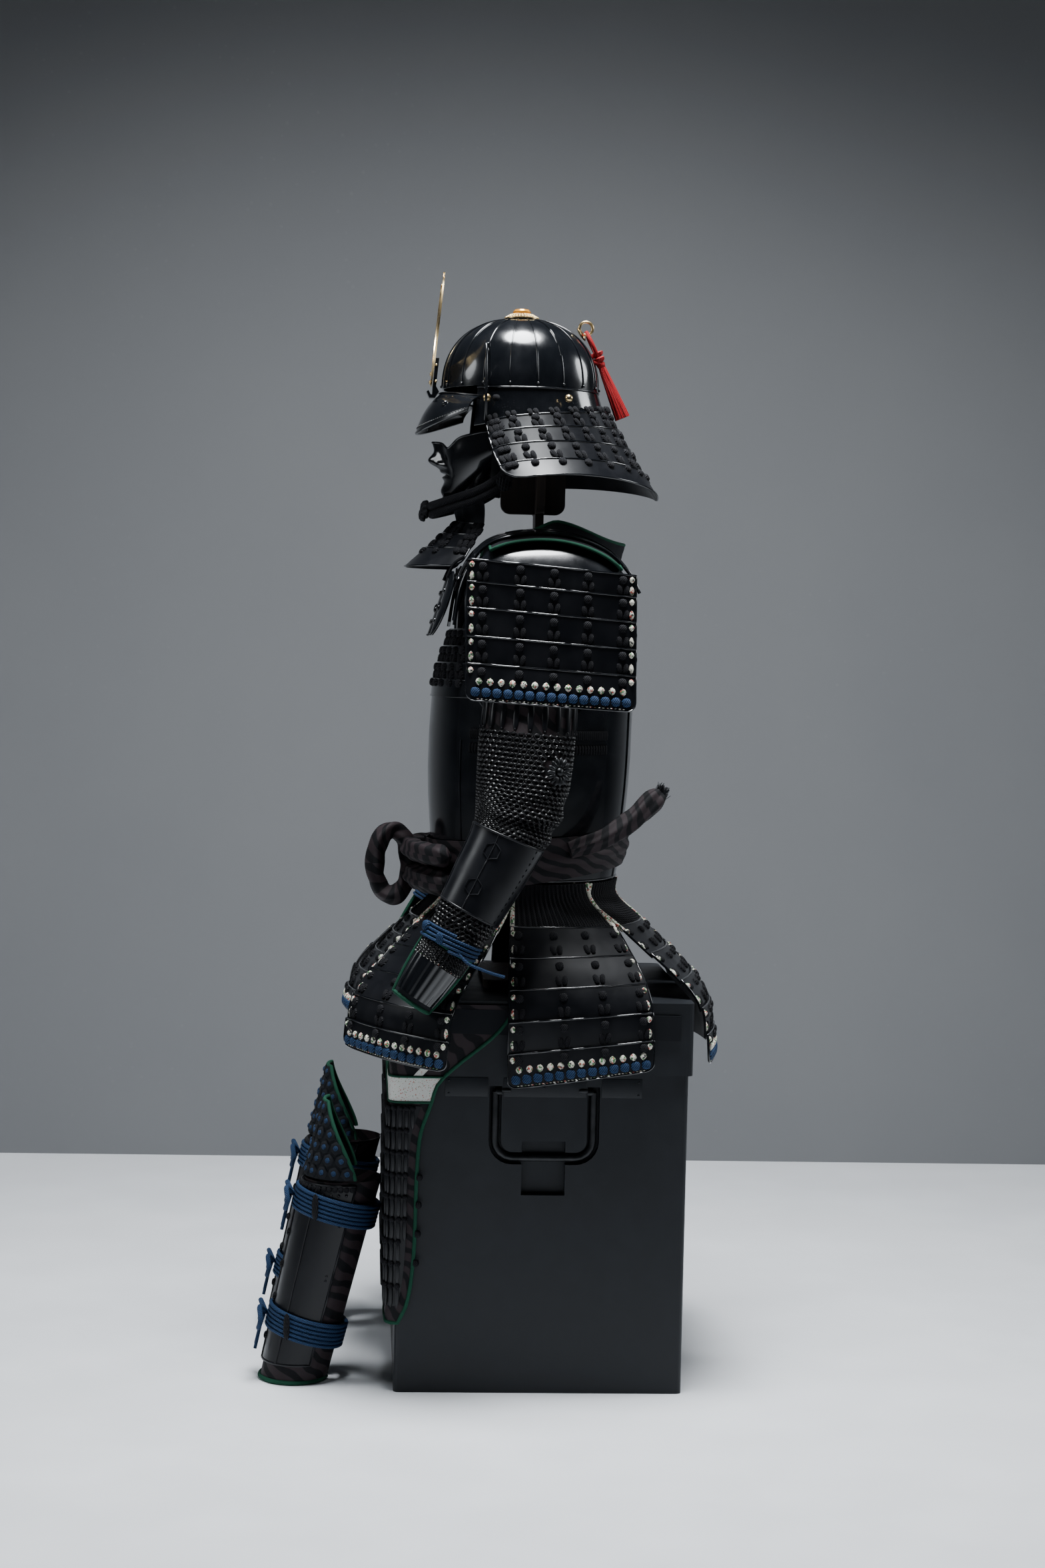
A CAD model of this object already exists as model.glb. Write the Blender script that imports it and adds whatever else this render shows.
import random
from math import asin, atan2, cos, exp, hypot, pi, radians, sin, sqrt, tan

import bmesh
import bpy
from mathutils import Matrix, Vector, noise


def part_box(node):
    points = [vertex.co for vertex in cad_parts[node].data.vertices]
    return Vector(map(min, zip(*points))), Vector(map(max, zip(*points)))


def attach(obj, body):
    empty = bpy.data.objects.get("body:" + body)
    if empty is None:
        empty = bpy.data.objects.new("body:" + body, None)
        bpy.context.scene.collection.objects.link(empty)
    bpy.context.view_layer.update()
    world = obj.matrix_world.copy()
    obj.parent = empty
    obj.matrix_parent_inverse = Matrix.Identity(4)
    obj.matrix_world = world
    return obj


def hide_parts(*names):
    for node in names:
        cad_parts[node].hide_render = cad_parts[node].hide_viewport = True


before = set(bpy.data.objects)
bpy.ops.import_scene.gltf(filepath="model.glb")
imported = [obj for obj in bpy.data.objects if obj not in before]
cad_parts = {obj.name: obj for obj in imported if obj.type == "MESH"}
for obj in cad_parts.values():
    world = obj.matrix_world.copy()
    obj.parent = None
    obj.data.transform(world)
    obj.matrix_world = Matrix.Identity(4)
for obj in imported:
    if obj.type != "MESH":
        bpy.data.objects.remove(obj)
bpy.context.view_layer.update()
random.seed(5)
mm = 0.001  # shapes are worked out in millimetres and stored in metres


# The camera, the floor and the light.

camera = {"place": (3.9693, -0.2537, 1.0234), "bearing": 86.706, "down": 2.805, "roll": 1.26, "lens": 63.0}


def makeCamera(settings):
    turn, down, roll = (radians(settings[key]) for key in ("bearing", "down", "roll"))
    right = Vector((cos(turn), sin(turn), 0))
    ahead = Vector((-sin(turn) * cos(down), cos(turn) * cos(down), -sin(down)))
    up = right.cross(ahead)
    axes = Matrix((cos(roll) * right + sin(roll) * up, cos(roll) * up - sin(roll) * right,
                   -ahead)).transposed()
    lens = bpy.data.cameras.new("camera")
    lens.lens = settings["lens"]
    lens.sensor_width = 36
    eye = bpy.data.objects.new("camera", lens)
    eye.matrix_world = Matrix.Translation(settings["place"]) @ axes.to_4x4()
    bpy.context.collection.objects.link(eye)
    bpy.context.scene.camera = eye


studio = {
    "front": 6500, "foot": -1500, "high": 5500, "halfWide": 6000,
    "lamps": [  # name, place, aims at, size, watts, spread, colour
        ("softTop", (0.4, 0.0, 3.3), (0.42, -0.02, 0), 1.1, 105, 125, (0.94, 0.97, 1.0)),
        ("softFront", (0.6, -2.9, 2.4), (0.1, -0.1, 0.6), 1.2, 7, 90, (0.93, 0.97, 1.0)),
        ("softBack", (-0.4, 2.9, 2.4), (0, 0, 0.8), 1.2, 12, 90, (0.93, 0.97, 1.0)),
    ],
}


def makeStudio(settings):
    for name, place, target, size, watts, spread, colour in settings["lamps"]:
        lamp = bpy.data.lights.new(name, "AREA")
        lamp.shape = "DISK"
        lamp.size = size
        lamp.energy = watts
        lamp.spread = radians(spread)
        lamp.color = colour
        holder = bpy.data.objects.new(name, lamp)
        aim = (Vector(target) - Vector(place)).to_track_quat("-Z", "Y")
        holder.matrix_world = Matrix.Translation(place) @ aim.to_matrix().to_4x4()
        bpy.context.collection.objects.link(holder)
    world = bpy.data.worlds.new("studioAir")
    world.use_nodes = True
    world.node_tree.nodes["Background"].inputs["Color"].default_value = (0.16, 0.17, 0.185, 1)
    world.node_tree.nodes["Background"].inputs["Strength"].default_value = 0.16
    bpy.context.scene.world = world


def makeStage(settings):  # a pale floor that meets a dark grey wall
    front, foot, high, half = (settings[key] for key in ("front", "foot", "high", "halfWide"))
    sides = {
        "studioFloor": ("paleFloor", steps(2, foot, front), lambda y, x: (x, y, 0)),
        "studioWall": ("greyWall", steps(2, high, -20), lambda y, z: (foot - 0.06 * z, y, z)),
    }
    for name, (finish, rows, place) in sides.items():
        bm = gridMesh(steps(2, -half, half), rows, place)
        mesh = bpy.data.meshes.new(name)
        bm.to_mesh(mesh)
        bm.free()
        mesh.materials.append(materials[finish])
        side = bpy.data.objects.new(name, mesh)
        bpy.context.collection.objects.link(side)


# Materials. Each effect is a node group that gives a Mask and a Height.

def addNode(tree, kind, inputs=None, **settings):
    node = tree.nodes.new(kind)
    for key, value in settings.items():
        setattr(node, key, value)
    for key, value in (inputs or {}).items():
        if isinstance(value, bpy.types.NodeSocket):
            tree.links.new(value, node.inputs[key])
        else:
            node.inputs[key].default_value = value
    return node


def startGroup(name):
    tree = bpy.data.node_groups.new(name, "ShaderNodeTree")
    tree.interface.new_socket("Vector", in_out="INPUT", socket_type="NodeSocketVector")
    tree.interface.new_socket("Scale", in_out="INPUT", socket_type="NodeSocketFloat")
    tree.interface.new_socket("Mask", in_out="OUTPUT", socket_type="NodeSocketFloat")
    tree.interface.new_socket("Height", in_out="OUTPUT", socket_type="NodeSocketFloat")
    return tree, addNode(tree, "NodeGroupInput")


def endGroup(tree, mask, height):
    addNode(tree, "NodeGroupOutput", {"Mask": mask, "Height": height})
    return tree


def math(tree, operation, first, second=0.0, third=0.0):
    return addNode(tree, "ShaderNodeMath", {0: first, 1: second, 2: third}, operation=operation).outputs[0]


def turned(tree, start, degrees):
    return addNode(tree, "ShaderNodeMapping", {"Vector": start.outputs["Vector"],
                                               "Rotation": (0, 0, radians(degrees))})


def bands(tree, vector, scale, distortion=0.0, direction="X"):
    settings = {"Vector": vector, "Scale": scale, "Distortion": distortion, "Detail": 1.0}
    return addNode(tree, "ShaderNodeTexWave", settings, bands_direction=direction).outputs["Fac"]


def noiseOf(tree, vector, scale, detail=4.0):
    settings = {"Vector": vector, "Scale": scale, "Detail": detail}
    return addNode(tree, "ShaderNodeTexNoise", settings).outputs["Fac"]


def between(tree, value, low, high):
    return addNode(tree, "ShaderNodeMapRange", {"Value": value, "From Min": low,
                                                "From Max": high}).outputs[0]


def makeWearGroup():  # smudges, fine dust and a faint ripple
    tree, start = startGroup("lacquerWear")
    vector, scale = start.outputs["Vector"], start.outputs["Scale"]
    smudge = between(tree, noiseOf(tree, vector, scale, 6.0), 0.38, 0.72)
    specks = addNode(tree, "ShaderNodeTexVoronoi",
                     {"Vector": vector, "Scale": math(tree, "MULTIPLY", scale, 16.0)})
    patch = between(tree, noiseOf(tree, vector, math(tree, "MULTIPLY", scale, 0.6), 3.0), 0.45, 0.7)
    dust = math(tree, "MULTIPLY", between(tree, specks.outputs["Distance"], 0.16, 0.06), patch)
    ripple = noiseOf(tree, vector, math(tree, "MULTIPLY", scale, 3.0), 2.0)
    mask = math(tree, "MAXIMUM", math(tree, "MULTIPLY", smudge, 0.45), dust)
    return endGroup(tree, mask, math(tree, "MULTIPLY_ADD", dust, 0.4, ripple))


def makeBraidGroup():  # two sets of strands that cross
    tree, start = startGroup("braidStrands")
    scale = start.outputs["Scale"]
    rising = bands(tree, turned(tree, start, 38).outputs[0], scale, 0.4)
    falling = bands(tree, turned(tree, start, -38).outputs[0], scale, 0.4)
    strands = math(tree, "MAXIMUM", rising, math(tree, "MULTIPLY", falling, 0.7))
    fuzz = noiseOf(tree, start.outputs["Vector"], math(tree, "MULTIPLY", scale, 6.0), 2.0)
    mask = math(tree, "MULTIPLY", strands, math(tree, "MULTIPLY_ADD", fuzz, 0.6, 0.6))
    return endGroup(tree, mask, strands)


def weaveOf(tree, start, share=9.0):
    scale = math(tree, "MULTIPLY", start.outputs["Scale"], share)
    across = bands(tree, start.outputs["Vector"], scale)
    along = bands(tree, start.outputs["Vector"], scale, 0.0, "Y")
    return math(tree, "MAXIMUM", across, along)


def makeWeaveGroup():  # plain woven cloth with worn patches
    tree, start = startGroup("plainWeave")
    weave = weaveOf(tree, start, 1.0)
    worn = noiseOf(tree, start.outputs["Vector"], math(tree, "MULTIPLY", start.outputs["Scale"], 0.03), 5.0)
    return endGroup(tree, math(tree, "MULTIPLY_ADD", weave, 0.35, math(tree, "MULTIPLY", worn, 0.7)), weave)


def makeStripeGroup():  # uneven tapering stripes on a twill
    tree, start = startGroup("taperedStripes")
    scale = start.outputs["Scale"]
    sweep = turned(tree, start, 62).outputs[0]
    wide = bands(tree, sweep, scale, 5.5)
    breaks = noiseOf(tree, start.outputs["Vector"], math(tree, "MULTIPLY", scale, 1.9), 3.0)
    stripe = between(tree, math(tree, "MULTIPLY_ADD", breaks, 0.5, math(tree, "MULTIPLY", wide, 0.8)),
                     0.52, 0.66)
    thread = weaveOf(tree, start, 34.0)
    mask = math(tree, "MULTIPLY_ADD", thread, 0.16, math(tree, "MULTIPLY", stripe, 0.84))
    return endGroup(tree, mask, thread)


def makeFleckGroup():  # short dabs of several thread colours
    tree, start = startGroup("threadFlecks")
    scale = start.outputs["Scale"]
    cells = addNode(tree, "ShaderNodeTexVoronoi", {"Vector": start.outputs["Vector"], "Scale": scale})
    dab = addNode(tree, "ShaderNodeSeparateColor", {"Color": cells.outputs["Color"]}).outputs[0]
    return endGroup(tree, dab, math(tree, "SUBTRACT", 1.0, cells.outputs["Distance"]))


def makeFloralGroup():  # rings of petals on a white ground
    tree, start = startGroup("floralRings")
    vector, scale = start.outputs["Vector"], start.outputs["Scale"]
    bloom = addNode(tree, "ShaderNodeTexVoronoi", {"Vector": vector, "Scale": scale, "Randomness": 0.35})
    rings = math(tree, "SINE", math(tree, "MULTIPLY", bloom.outputs["Distance"], 26.0))
    petals = addNode(tree, "ShaderNodeTexVoronoi",
                     {"Vector": vector, "Scale": math(tree, "MULTIPLY", scale, 5.0)})
    hue = addNode(tree, "ShaderNodeSeparateColor", {"Color": petals.outputs["Color"]}).outputs[0]
    dots = between(tree, petals.outputs["Distance"], 0.5, 0.34)
    mask = math(tree, "MULTIPLY", math(tree, "MULTIPLY", dots, between(tree, rings, -0.2, 0.5)), hue)
    return endGroup(tree, mask, math(tree, "ADD", mask, weaveOf(tree, start, 12.0)))


def makeGrainGroup():  # long wood grain under a stain
    tree, start = startGroup("woodGrain")
    long = addNode(tree, "ShaderNodeMapping", {"Vector": start.outputs["Vector"],
                                               "Scale": (1, 1, 0.08)}).outputs[0]
    grain = noiseOf(tree, long, start.outputs["Scale"], 8.0)
    return endGroup(tree, between(tree, grain, 0.3, 0.75), grain)


effects = {
    "wear": makeWearGroup(), "braid": makeBraidGroup(), "weave": makeWeaveGroup(),
    "stripes": makeStripeGroup(), "flecks": makeFleckGroup(), "floral": makeFloralGroup(),
    "grain": makeGrainGroup(),
}

# Each finish: slot, effect, its scale, whether it follows the cut, colours at shares of the mask,
# roughness at mask 0 and 1, bump strength and depth in millimetres, and other shader values.
finishes = {
    "paleFloor": dict(effect="wear", scale=6, colours=[(0, (0.76, 0.78, 0.81)), (1, (0.86, 0.88, 0.91))],
                      rough=(0.5, 0.62), bump=(0.1, 0.3)),
    "greyWall": dict(effect="wear", scale=2, colours=[(0, (0.165, 0.17, 0.178)), (1, (0.19, 0.195, 0.2))],
                     rough=(0.7, 0.8), bump=(0.1, 0.3)),
    "boxLacquer": dict(slot="box_lacquer", effect="wear", scale=30, rough=(0.42, 0.6), bump=(0.25, 0.12),
                       colours=[(0, (0.0095, 0.011, 0.0135)), (0.5, (0.0125, 0.0145, 0.0175)),
                                (1, (0.035, 0.038, 0.042))],
                       values={"Specular IOR Level": 0.22}),
    "standWood": dict(slot="stand_wood", effect="grain", scale=160, rough=(0.45, 0.65), bump=(0.4, 0.3),
                      colours=[(0, (0.010, 0.007, 0.006)), (1, (0.035, 0.022, 0.016))]),
    "blackLacquer": dict(slot="black_lacquer", effect="wear", scale=26, rough=(0.13, 0.42),
                         bump=(0.12, 0.1), colours=[(0, (0.0035, 0.0042, 0.0055)),
                                                    (0.45, (0.006, 0.007, 0.009)),
                                  (1, (0.10, 0.10, 0.11))],
                         values={"Coat Weight": 0.35, "Coat Roughness": 0.06}),
    "satinLacquer": dict(slot="black_lacquer", effect="wear", scale=34, rough=(0.3, 0.5), bump=(0.3, 0.15),
                         colours=[(0, (0.004, 0.0045, 0.006)), (0.5, (0.007, 0.0075, 0.0095)),
                                  (1, (0.07, 0.07, 0.08))],
                         values={"Specular IOR Level": 0.24}),
    "iron": dict(slot="iron", effect="wear", scale=60, rough=(0.35, 0.6), bump=(0.4, 0.2),
                 colours=[(0, (0.010, 0.011, 0.012)), (1, (0.045, 0.046, 0.05))], values={"Metallic": 0.7}),
    "mailIron": dict(slot="mail", effect="wear", scale=90, rough=(0.3, 0.55), bump=(0.2, 0.1),
                     colours=[(0, (0.0016, 0.0016, 0.0022)), (1, (0.008, 0.008, 0.0095))],
                     values={"Specular IOR Level": 0.26}),
    "gold": dict(slot="gold", effect="wear", scale=40, rough=(0.24, 0.42), bump=(0.2, 0.1),
                 colours=[(0, (0.93, 0.70, 0.36)), (1, (0.72, 0.50, 0.22))], values={"Metallic": 1.0}),
    "amberGilt": dict(slot="gold", effect="wear", scale=40, rough=(0.2, 0.45), bump=(0.2, 0.1),
                      colours=[(0, (0.92, 0.40, 0.05)), (1, (0.62, 0.24, 0.03))], values={"Metallic": 0.6}),
    "redSilk": dict(slot="red_silk", effect="braid", scale=210, cut=True, rough=(0.7, 0.45),
                    bump=(0.8, 0.5), colours=[(0, (0.10, 0.001, 0.002)), (1, (0.50, 0.004, 0.010))],
                    values={"Specular IOR Level": 0.25}),
    "blackCord": dict(slot="black_cord", effect="braid", scale=150, cut=True, rough=(0.85, 0.5),
                      bump=(1.0, 0.9), colours=[(0, (0.001, 0.001, 0.0014)), (0.6, (0.005, 0.005, 0.0065)),
                                                (1, (0.016, 0.0165, 0.021))],
                      values={"Specular IOR Level": 0.14}),
    "blueCord": dict(slot="blue_cord", effect="braid", scale=150, cut=True, rough=(0.8, 0.5),
                     bump=(1.0, 0.9), colours=[(0, (0.001, 0.003, 0.010)), (0.6, (0.006, 0.024, 0.070)),
                                               (1, (0.02, 0.07, 0.165))],
                     values={"Specular IOR Level": 0.2}),
    "patternedCord": dict(slot="patterned_cord", effect="flecks", scale=420, rough=(0.6, 0.7),
                          bump=(0.7, 0.6), constant=True, values={"Sheen Weight": 0.2},
                          colours=[(0, (0.62, 0.60, 0.50)), (0.42, (0.05, 0.17, 0.05)),
                                   (0.58, (0.70, 0.67, 0.58)), (0.78, (0.42, 0.07, 0.05)),
                                   (0.88, (0.02, 0.02, 0.02))]),
    "stripedCloth": dict(slot="striped_cloth", effect="stripes", scale=16, cut=True, rough=(0.7, 0.55),
                         bump=(0.4, 0.3), values={"Specular IOR Level": 0.18},
                         colours=[(0, (0.0018, 0.002, 0.0032)), (0.35, (0.0035, 0.0036, 0.005)),
                                  (1, (0.024, 0.0165, 0.019))]),
    "underCloth": dict(slot="under_cloth", effect="weave", scale=420, cut=True, rough=(0.75, 0.9),
                       bump=(0.5, 0.3), colours=[(0, (0.0022, 0.0027, 0.004)),
                                                 (1, (0.010, 0.0115, 0.0145))],
                       values={"Specular IOR Level": 0.18}),
    "greenBinding": dict(slot="green_binding", effect="weave", scale=600, cut=True, rough=(0.7, 0.85),
                         bump=(0.4, 0.25), colours=[(0, (0.0015, 0.018, 0.010)),
                                                    (1, (0.010, 0.075, 0.042))],
                         values={"Specular IOR Level": 0.18}),
    "brocade": dict(slot="brocade", effect="floral", scale=95, cut=True, rough=(0.6, 0.7), bump=(0.5, 0.3),
                    constant=True, values={"Sheen Weight": 0.3},
                    colours=[(0, (0.62, 0.62, 0.58)), (0.22, (0.12, 0.26, 0.14)), (0.4, (0.66, 0.66, 0.62)),
                             (0.55, (0.50, 0.13, 0.10))]),
}


def makeMaterial(name, effect, scale, colours, rough, bump, cut=False, constant=False, values=None,
                 slot=None):
    material = bpy.data.materials.new(name)
    material.use_nodes = True
    tree = material.node_tree
    shader = tree.nodes["Principled BSDF"]
    for key, value in (values or {}).items():
        shader.inputs[key].default_value = value
    if cut:
        vector = addNode(tree, "ShaderNodeUVMap", uv_map="cut").outputs["UV"]
    else:
        vector = addNode(tree, "ShaderNodeTexCoord").outputs["Object"]
    group = addNode(tree, "ShaderNodeGroup", node_tree=effects[effect])
    tree.links.new(vector, group.inputs["Vector"])
    group.inputs["Scale"].default_value = scale
    ramp = addNode(tree, "ShaderNodeValToRGB", {"Fac": group.outputs["Mask"]})
    ramp.color_ramp.interpolation = "CONSTANT" if constant else "LINEAR"
    while len(ramp.color_ramp.elements) < len(colours):
        ramp.color_ramp.elements.new(1.0)
    for stop, (share, colour) in zip(ramp.color_ramp.elements, colours):
        stop.position = share
        stop.color = (*colour, 1)
    tree.links.new(ramp.outputs["Color"], shader.inputs["Base Color"])
    spread = addNode(tree, "ShaderNodeMapRange",
                     {"Value": group.outputs["Mask"], "To Min": rough[0], "To Max": rough[1]})
    tree.links.new(spread.outputs[0], shader.inputs["Roughness"])
    relief = addNode(tree, "ShaderNodeBump", {"Height": group.outputs["Height"], "Strength": bump[0],
                                              "Distance": bump[1] * mm})
    tree.links.new(relief.outputs["Normal"], shader.inputs["Normal"])
    return material


materials = {name: makeMaterial(name, **finish) for name, finish in finishes.items()}
makeCamera(camera)
makeStudio(studio)
print("studio and materials made")


# Building helpers.

def lerp(a, b, share):
    return a + (b - a) * share


def clamp(value, low=0.0, high=1.0):
    return min(max(value, low), high)


def smooth(low, high, value):
    share = clamp((value - low) / (high - low))
    return share * share * (3 - 2 * share)


def steps(count, first=0.0, last=1.0):
    return [lerp(first, last, i / count) for i in range(count + 1)]


def around(count):
    return [i / count for i in range(count)]


def readTable(table, key, column=1):  # a smooth line through the rows of a table
    rows = sorted(table)
    key = clamp(key, rows[0][0], rows[-1][0])
    last = len(rows) - 1
    i = clamp(sum(row[0] < key for row in rows) - 1, 0, last - 1)

    def slope(j):
        low, high = rows[max(j - 1, 0)], rows[min(j + 1, last)]
        return (high[column] - low[column]) / (high[0] - low[0])

    low, high = rows[i], rows[i + 1]
    span = high[0] - low[0]
    t = (key - low[0]) / span
    start = (2 * t ** 3 - 3 * t ** 2 + 1) * low[column] + (t ** 3 - 2 * t ** 2 + t) * span * slope(i)
    return start + (3 * t ** 2 - 2 * t ** 3) * high[column] + (t ** 3 - t ** 2) * span * slope(i + 1)


def through(route, count):  # points on a smooth line through a few given ones
    rows = [(i, *point) for i, point in enumerate(route)]
    keys = steps(count, 0, len(route) - 1)
    return [Vector([readTable(rows, key, axis) for axis in (1, 2, 3)]) for key in keys]


def gridMesh(columns, rows, place, size=(1, 1), wall=0.0, closed=False):
    # A grid whose point in a column and row goes to place(column, row), in millimetres. Columns run
    # from left to right and rows from the top down, as seen from outside.
    bm = bmesh.new()
    bmesh.ops.create_grid(bm, x_segments=len(columns) - 1, y_segments=len(rows) - 1, size=0.5)
    cut = bm.loops.layers.uv.new("cut")
    spots = {}
    for vert in bm.verts:
        spots[vert] = (columns[round((vert.co.x + 0.5) * (len(columns) - 1))],
                       rows[round((0.5 - vert.co.y) * (len(rows) - 1))])
    for face in bm.faces:
        for loop in face.loops:
            column, row = spots[loop.vert]
            loop[cut].uv = ((column - columns[0]) / (columns[-1] - columns[0]) * size[0] * mm,
                            (row - rows[0]) / (rows[-1] - rows[0]) * size[1] * mm)
    for vert, (column, row) in spots.items():
        vert.co = Vector(place(column, row)) * mm
    if closed:
        bmesh.ops.remove_doubles(bm, verts=bm.verts, dist=0.001 * mm)
    bm.normal_update()
    if wall:
        bmesh.ops.solidify(bm, geom=bm.faces[:], thickness=wall * mm)
    return bm


def tubeMesh(path, radius, sides=8, loop=False, swell=None, flat=1.0):
    # A bar along a line of points. swell gives the share of the radius at a share of the way, and
    # flat squeezes it at right angles to its first side.
    points = [Vector(point) for point in path]
    count = len(points)
    ends = [(points[i - 1], points[(i + 1) % count]) for i in range(count)]
    if not loop:
        ends[0], ends[-1] = (points[0], ends[0][1]), (ends[-1][0], points[-1])
    frames = []
    side = (ends[0][1] - ends[0][0]).orthogonal().normalized()
    for before, after in ends:
        way = (after - before).normalized()
        side = (side - way * side.dot(way)).normalized()
        frames.append((side, way.cross(side)))
    if loop:
        points.append(points[0])
        frames.append(frames[0])
    long = longOf(points)

    def place(angle, row):
        side, across = frames[round(row)]
        reach = radius * (swell(row / (len(points) - 1)) if swell else 1.0)
        return points[round(row)] + reach * (cos(angle) * side - sin(angle) * across * flat)

    rows = [float(i) for i in range(len(points))]
    bm = gridMesh(steps(sides, 0, 2 * pi), rows, place, (2 * pi * radius, long), closed=True)
    return capped(bm)


def outline(place, rows, columns, out=0.0, foot=True):
    # The points round a plate's edge, or only up one side, over the top and down the other.
    path = [place(0, v, out) for v in steps(rows, 1, 0)] + [place(u, 0, out) for u in steps(columns)][1:]
    path += [place(1, v, out) for v in steps(rows)][1:]
    return path + [place(u, 1, out) for u in steps(columns, 1, 0)][1:-1] if foot else path


def capped(bm):  # closes the open ends and turns the faces outwards
    bmesh.ops.holes_fill(bm, edges=[edge for edge in bm.edges if edge.is_boundary], sides=0)
    bmesh.ops.recalc_face_normals(bm, faces=bm.faces[:])
    return bm


def joined(*parts):
    whole = parts[0]
    for part in parts[1:]:
        spare = bpy.data.meshes.new("spare")
        part.to_mesh(spare)
        whole.from_mesh(spare)
        bpy.data.meshes.remove(spare)
        part.free()
    return whole


def seat(point, out, up=(0, 0, 1), size=(1, 1, 1), turn=0.0):
    # Where a small shape sits: its Z looks out and its Y up, and it is scaled and turned in its plane.
    out = Vector(out).normalized()
    right = Vector(up).cross(out).normalized()
    axes = Matrix((right, out.cross(right), out)).transposed().to_4x4()
    scale = Matrix.Diagonal((*size, 1)) * mm
    scale[3][3] = 1
    return Matrix.Translation(Vector(point) * mm) @ axes @ Matrix.Rotation(radians(turn), 4, "Z") @ scale


def seatOn(place, u, v, size=(1, 1, 1), turn=0.0, shift=(0.0, 0.0), lift=0.0):
    # A seat on a surface given by place(u, v), moved along it by shift in millimetres.
    du = Vector(place(u + 0.004, v)) - Vector(place(u - 0.004, v))
    dv = Vector(place(u, v + 0.004)) - Vector(place(u, v - 0.004))
    right, down = du.normalized(), dv.normalized()
    out = down.cross(right)
    point = Vector(place(u, v)) + right * shift[0] - down * shift[1] + out.normalized() * lift
    return seat(point, out, -down, size, turn)


def strewn(shape, places):
    bm = bmesh.new()
    for place in places:
        copy = shape.copy()
        copy.transform(place)
        bm.from_mesh(copy)
        bpy.data.meshes.remove(copy)
    return bm


def pillowShape(name, around=10, rings=6, square=0.8, flatBack=0.35):
    # A small closed pad, 1 wide, 1 tall and 1 deep, that the lacing, rivets and studs are scaled from.
    bm = bmesh.new()
    bmesh.ops.create_uvsphere(bm, u_segments=around, v_segments=rings, radius=0.5)
    cut = bm.loops.layers.uv.new("cut")
    for vert in bm.verts:
        x, y, z = (abs(2 * value) ** square * (0.5 if value > 0 else -0.5) for value in vert.co)
        vert.co = (x, y, z if z > 0 else z * flatBack)
    for face in bm.faces:
        for loop in face.loops:
            loop[cut].uv = (loop.vert.co.x * 12 * mm, loop.vert.co.y * 12 * mm)
    mesh = bpy.data.meshes.new(name)
    bm.to_mesh(mesh)
    bm.free()
    return mesh


def ringShape(name, radius, wire, around=8, sides=4):
    bm = bmesh.new()
    bmesh.ops.create_circle(bm, segments=sides, radius=wire,
                            matrix=Matrix.Translation((radius, 0, 0)) @ Matrix.Rotation(pi / 2, 4, "X"))
    bmesh.ops.spin(bm, geom=bm.verts[:] + bm.edges[:], cent=(0, 0, 0), axis=(0, 0, 1), angle=2 * pi,
                   steps=around, use_merge=True)
    bmesh.ops.recalc_face_normals(bm, faces=bm.faces[:])
    mesh = bpy.data.meshes.new(name)
    bm.to_mesh(mesh)
    bm.free()
    return mesh


def turnedMesh(profile, centre, around=32):
    # A closed body turned about an upright line; the profile runs from the axis back to the axis.
    bm = bmesh.new()
    verts = [bm.verts.new((radius * mm, 0, height * mm)) for radius, height in profile]
    edges = [bm.edges.new(pair) for pair in zip(verts, verts[1:])]
    bmesh.ops.spin(bm, geom=verts + edges, cent=(0, 0, 0), axis=(0, 0, 1), angle=2 * pi, steps=around,
                   use_merge=True)
    bmesh.ops.remove_doubles(bm, verts=bm.verts, dist=0.01 * mm)
    bmesh.ops.recalc_face_normals(bm, faces=bm.faces[:])
    bmesh.ops.translate(bm, verts=bm.verts, vec=Vector(centre) * mm)
    return bm


def longOf(path):
    return sum((b - a).length for a, b in zip(path, path[1:]))


def addPiece(name, bm, finish, nodes=(), pair=False, body="root", hard=40):
    # Makes the piece, or a left piece and its mirror image, on its body and in its record slot.
    made = []
    for side, suffix in (("Left", "_left"), ("Right", "_right")) if pair else (("", ""),):
        if side == "Right":
            bmesh.ops.scale(bm, vec=(-1, 1, 1), verts=bm.verts)
            bmesh.ops.reverse_faces(bm, faces=bm.faces)
        mesh = bpy.data.meshes.new(name + side)
        bm.to_mesh(mesh)
        mesh.shade_smooth()
        mesh.set_sharp_from_angle(angle=radians(hard))
        mesh.materials.append(materials[finish])
        piece = bpy.data.objects.new(name + side, mesh)
        bpy.context.collection.objects.link(piece)
        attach(piece, body + suffix if body == "handle" else body)
        if nodes:
            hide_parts(*[node + suffix for node in nodes])
        made.append(piece)
    bm.free()
    return made


def addCordEnds(name, path, radius):  # a pair of free blue ends
    ends = addPiece(name, tubeMesh(path, radius, 8), "blueCord", pair=True)
    for end, side in zip(ends, (1, -1)):
        points = [(side * point.x * mm, point.y * mm, point.z * mm) for point in path]
        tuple(points[0])


makeStage(studio)
knot = pillowShape("knotShape")
bead = pillowShape("beadShape", 8, 6, 1.0, 0.6)
lozenge = pillowShape("lozengeShape", 8, 6, 1.25)
wireRing = ringShape("wireRingShape", 3.7, 1.35, 9, 4)


# Laced panels: lames with rims, columns of knots, patterned edges and the two bottom rows.

def lamePlace(at, start, end, step, last, corner, width, tall):
    # One lame of a panel. Its top edge stands out and its foot goes in under the next lame.
    def place(u, t):
        bottom = end
        if last and corner:
            near = min(u, 1 - u) * width
            if near < corner:
                bottom = end - (corner - sqrt(max(0.0, corner ** 2 - (corner - near) ** 2))) / tall
        return at(u, lerp(start, bottom, t), step * (0.5 if last else 0.5 - t))
    return place


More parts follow.
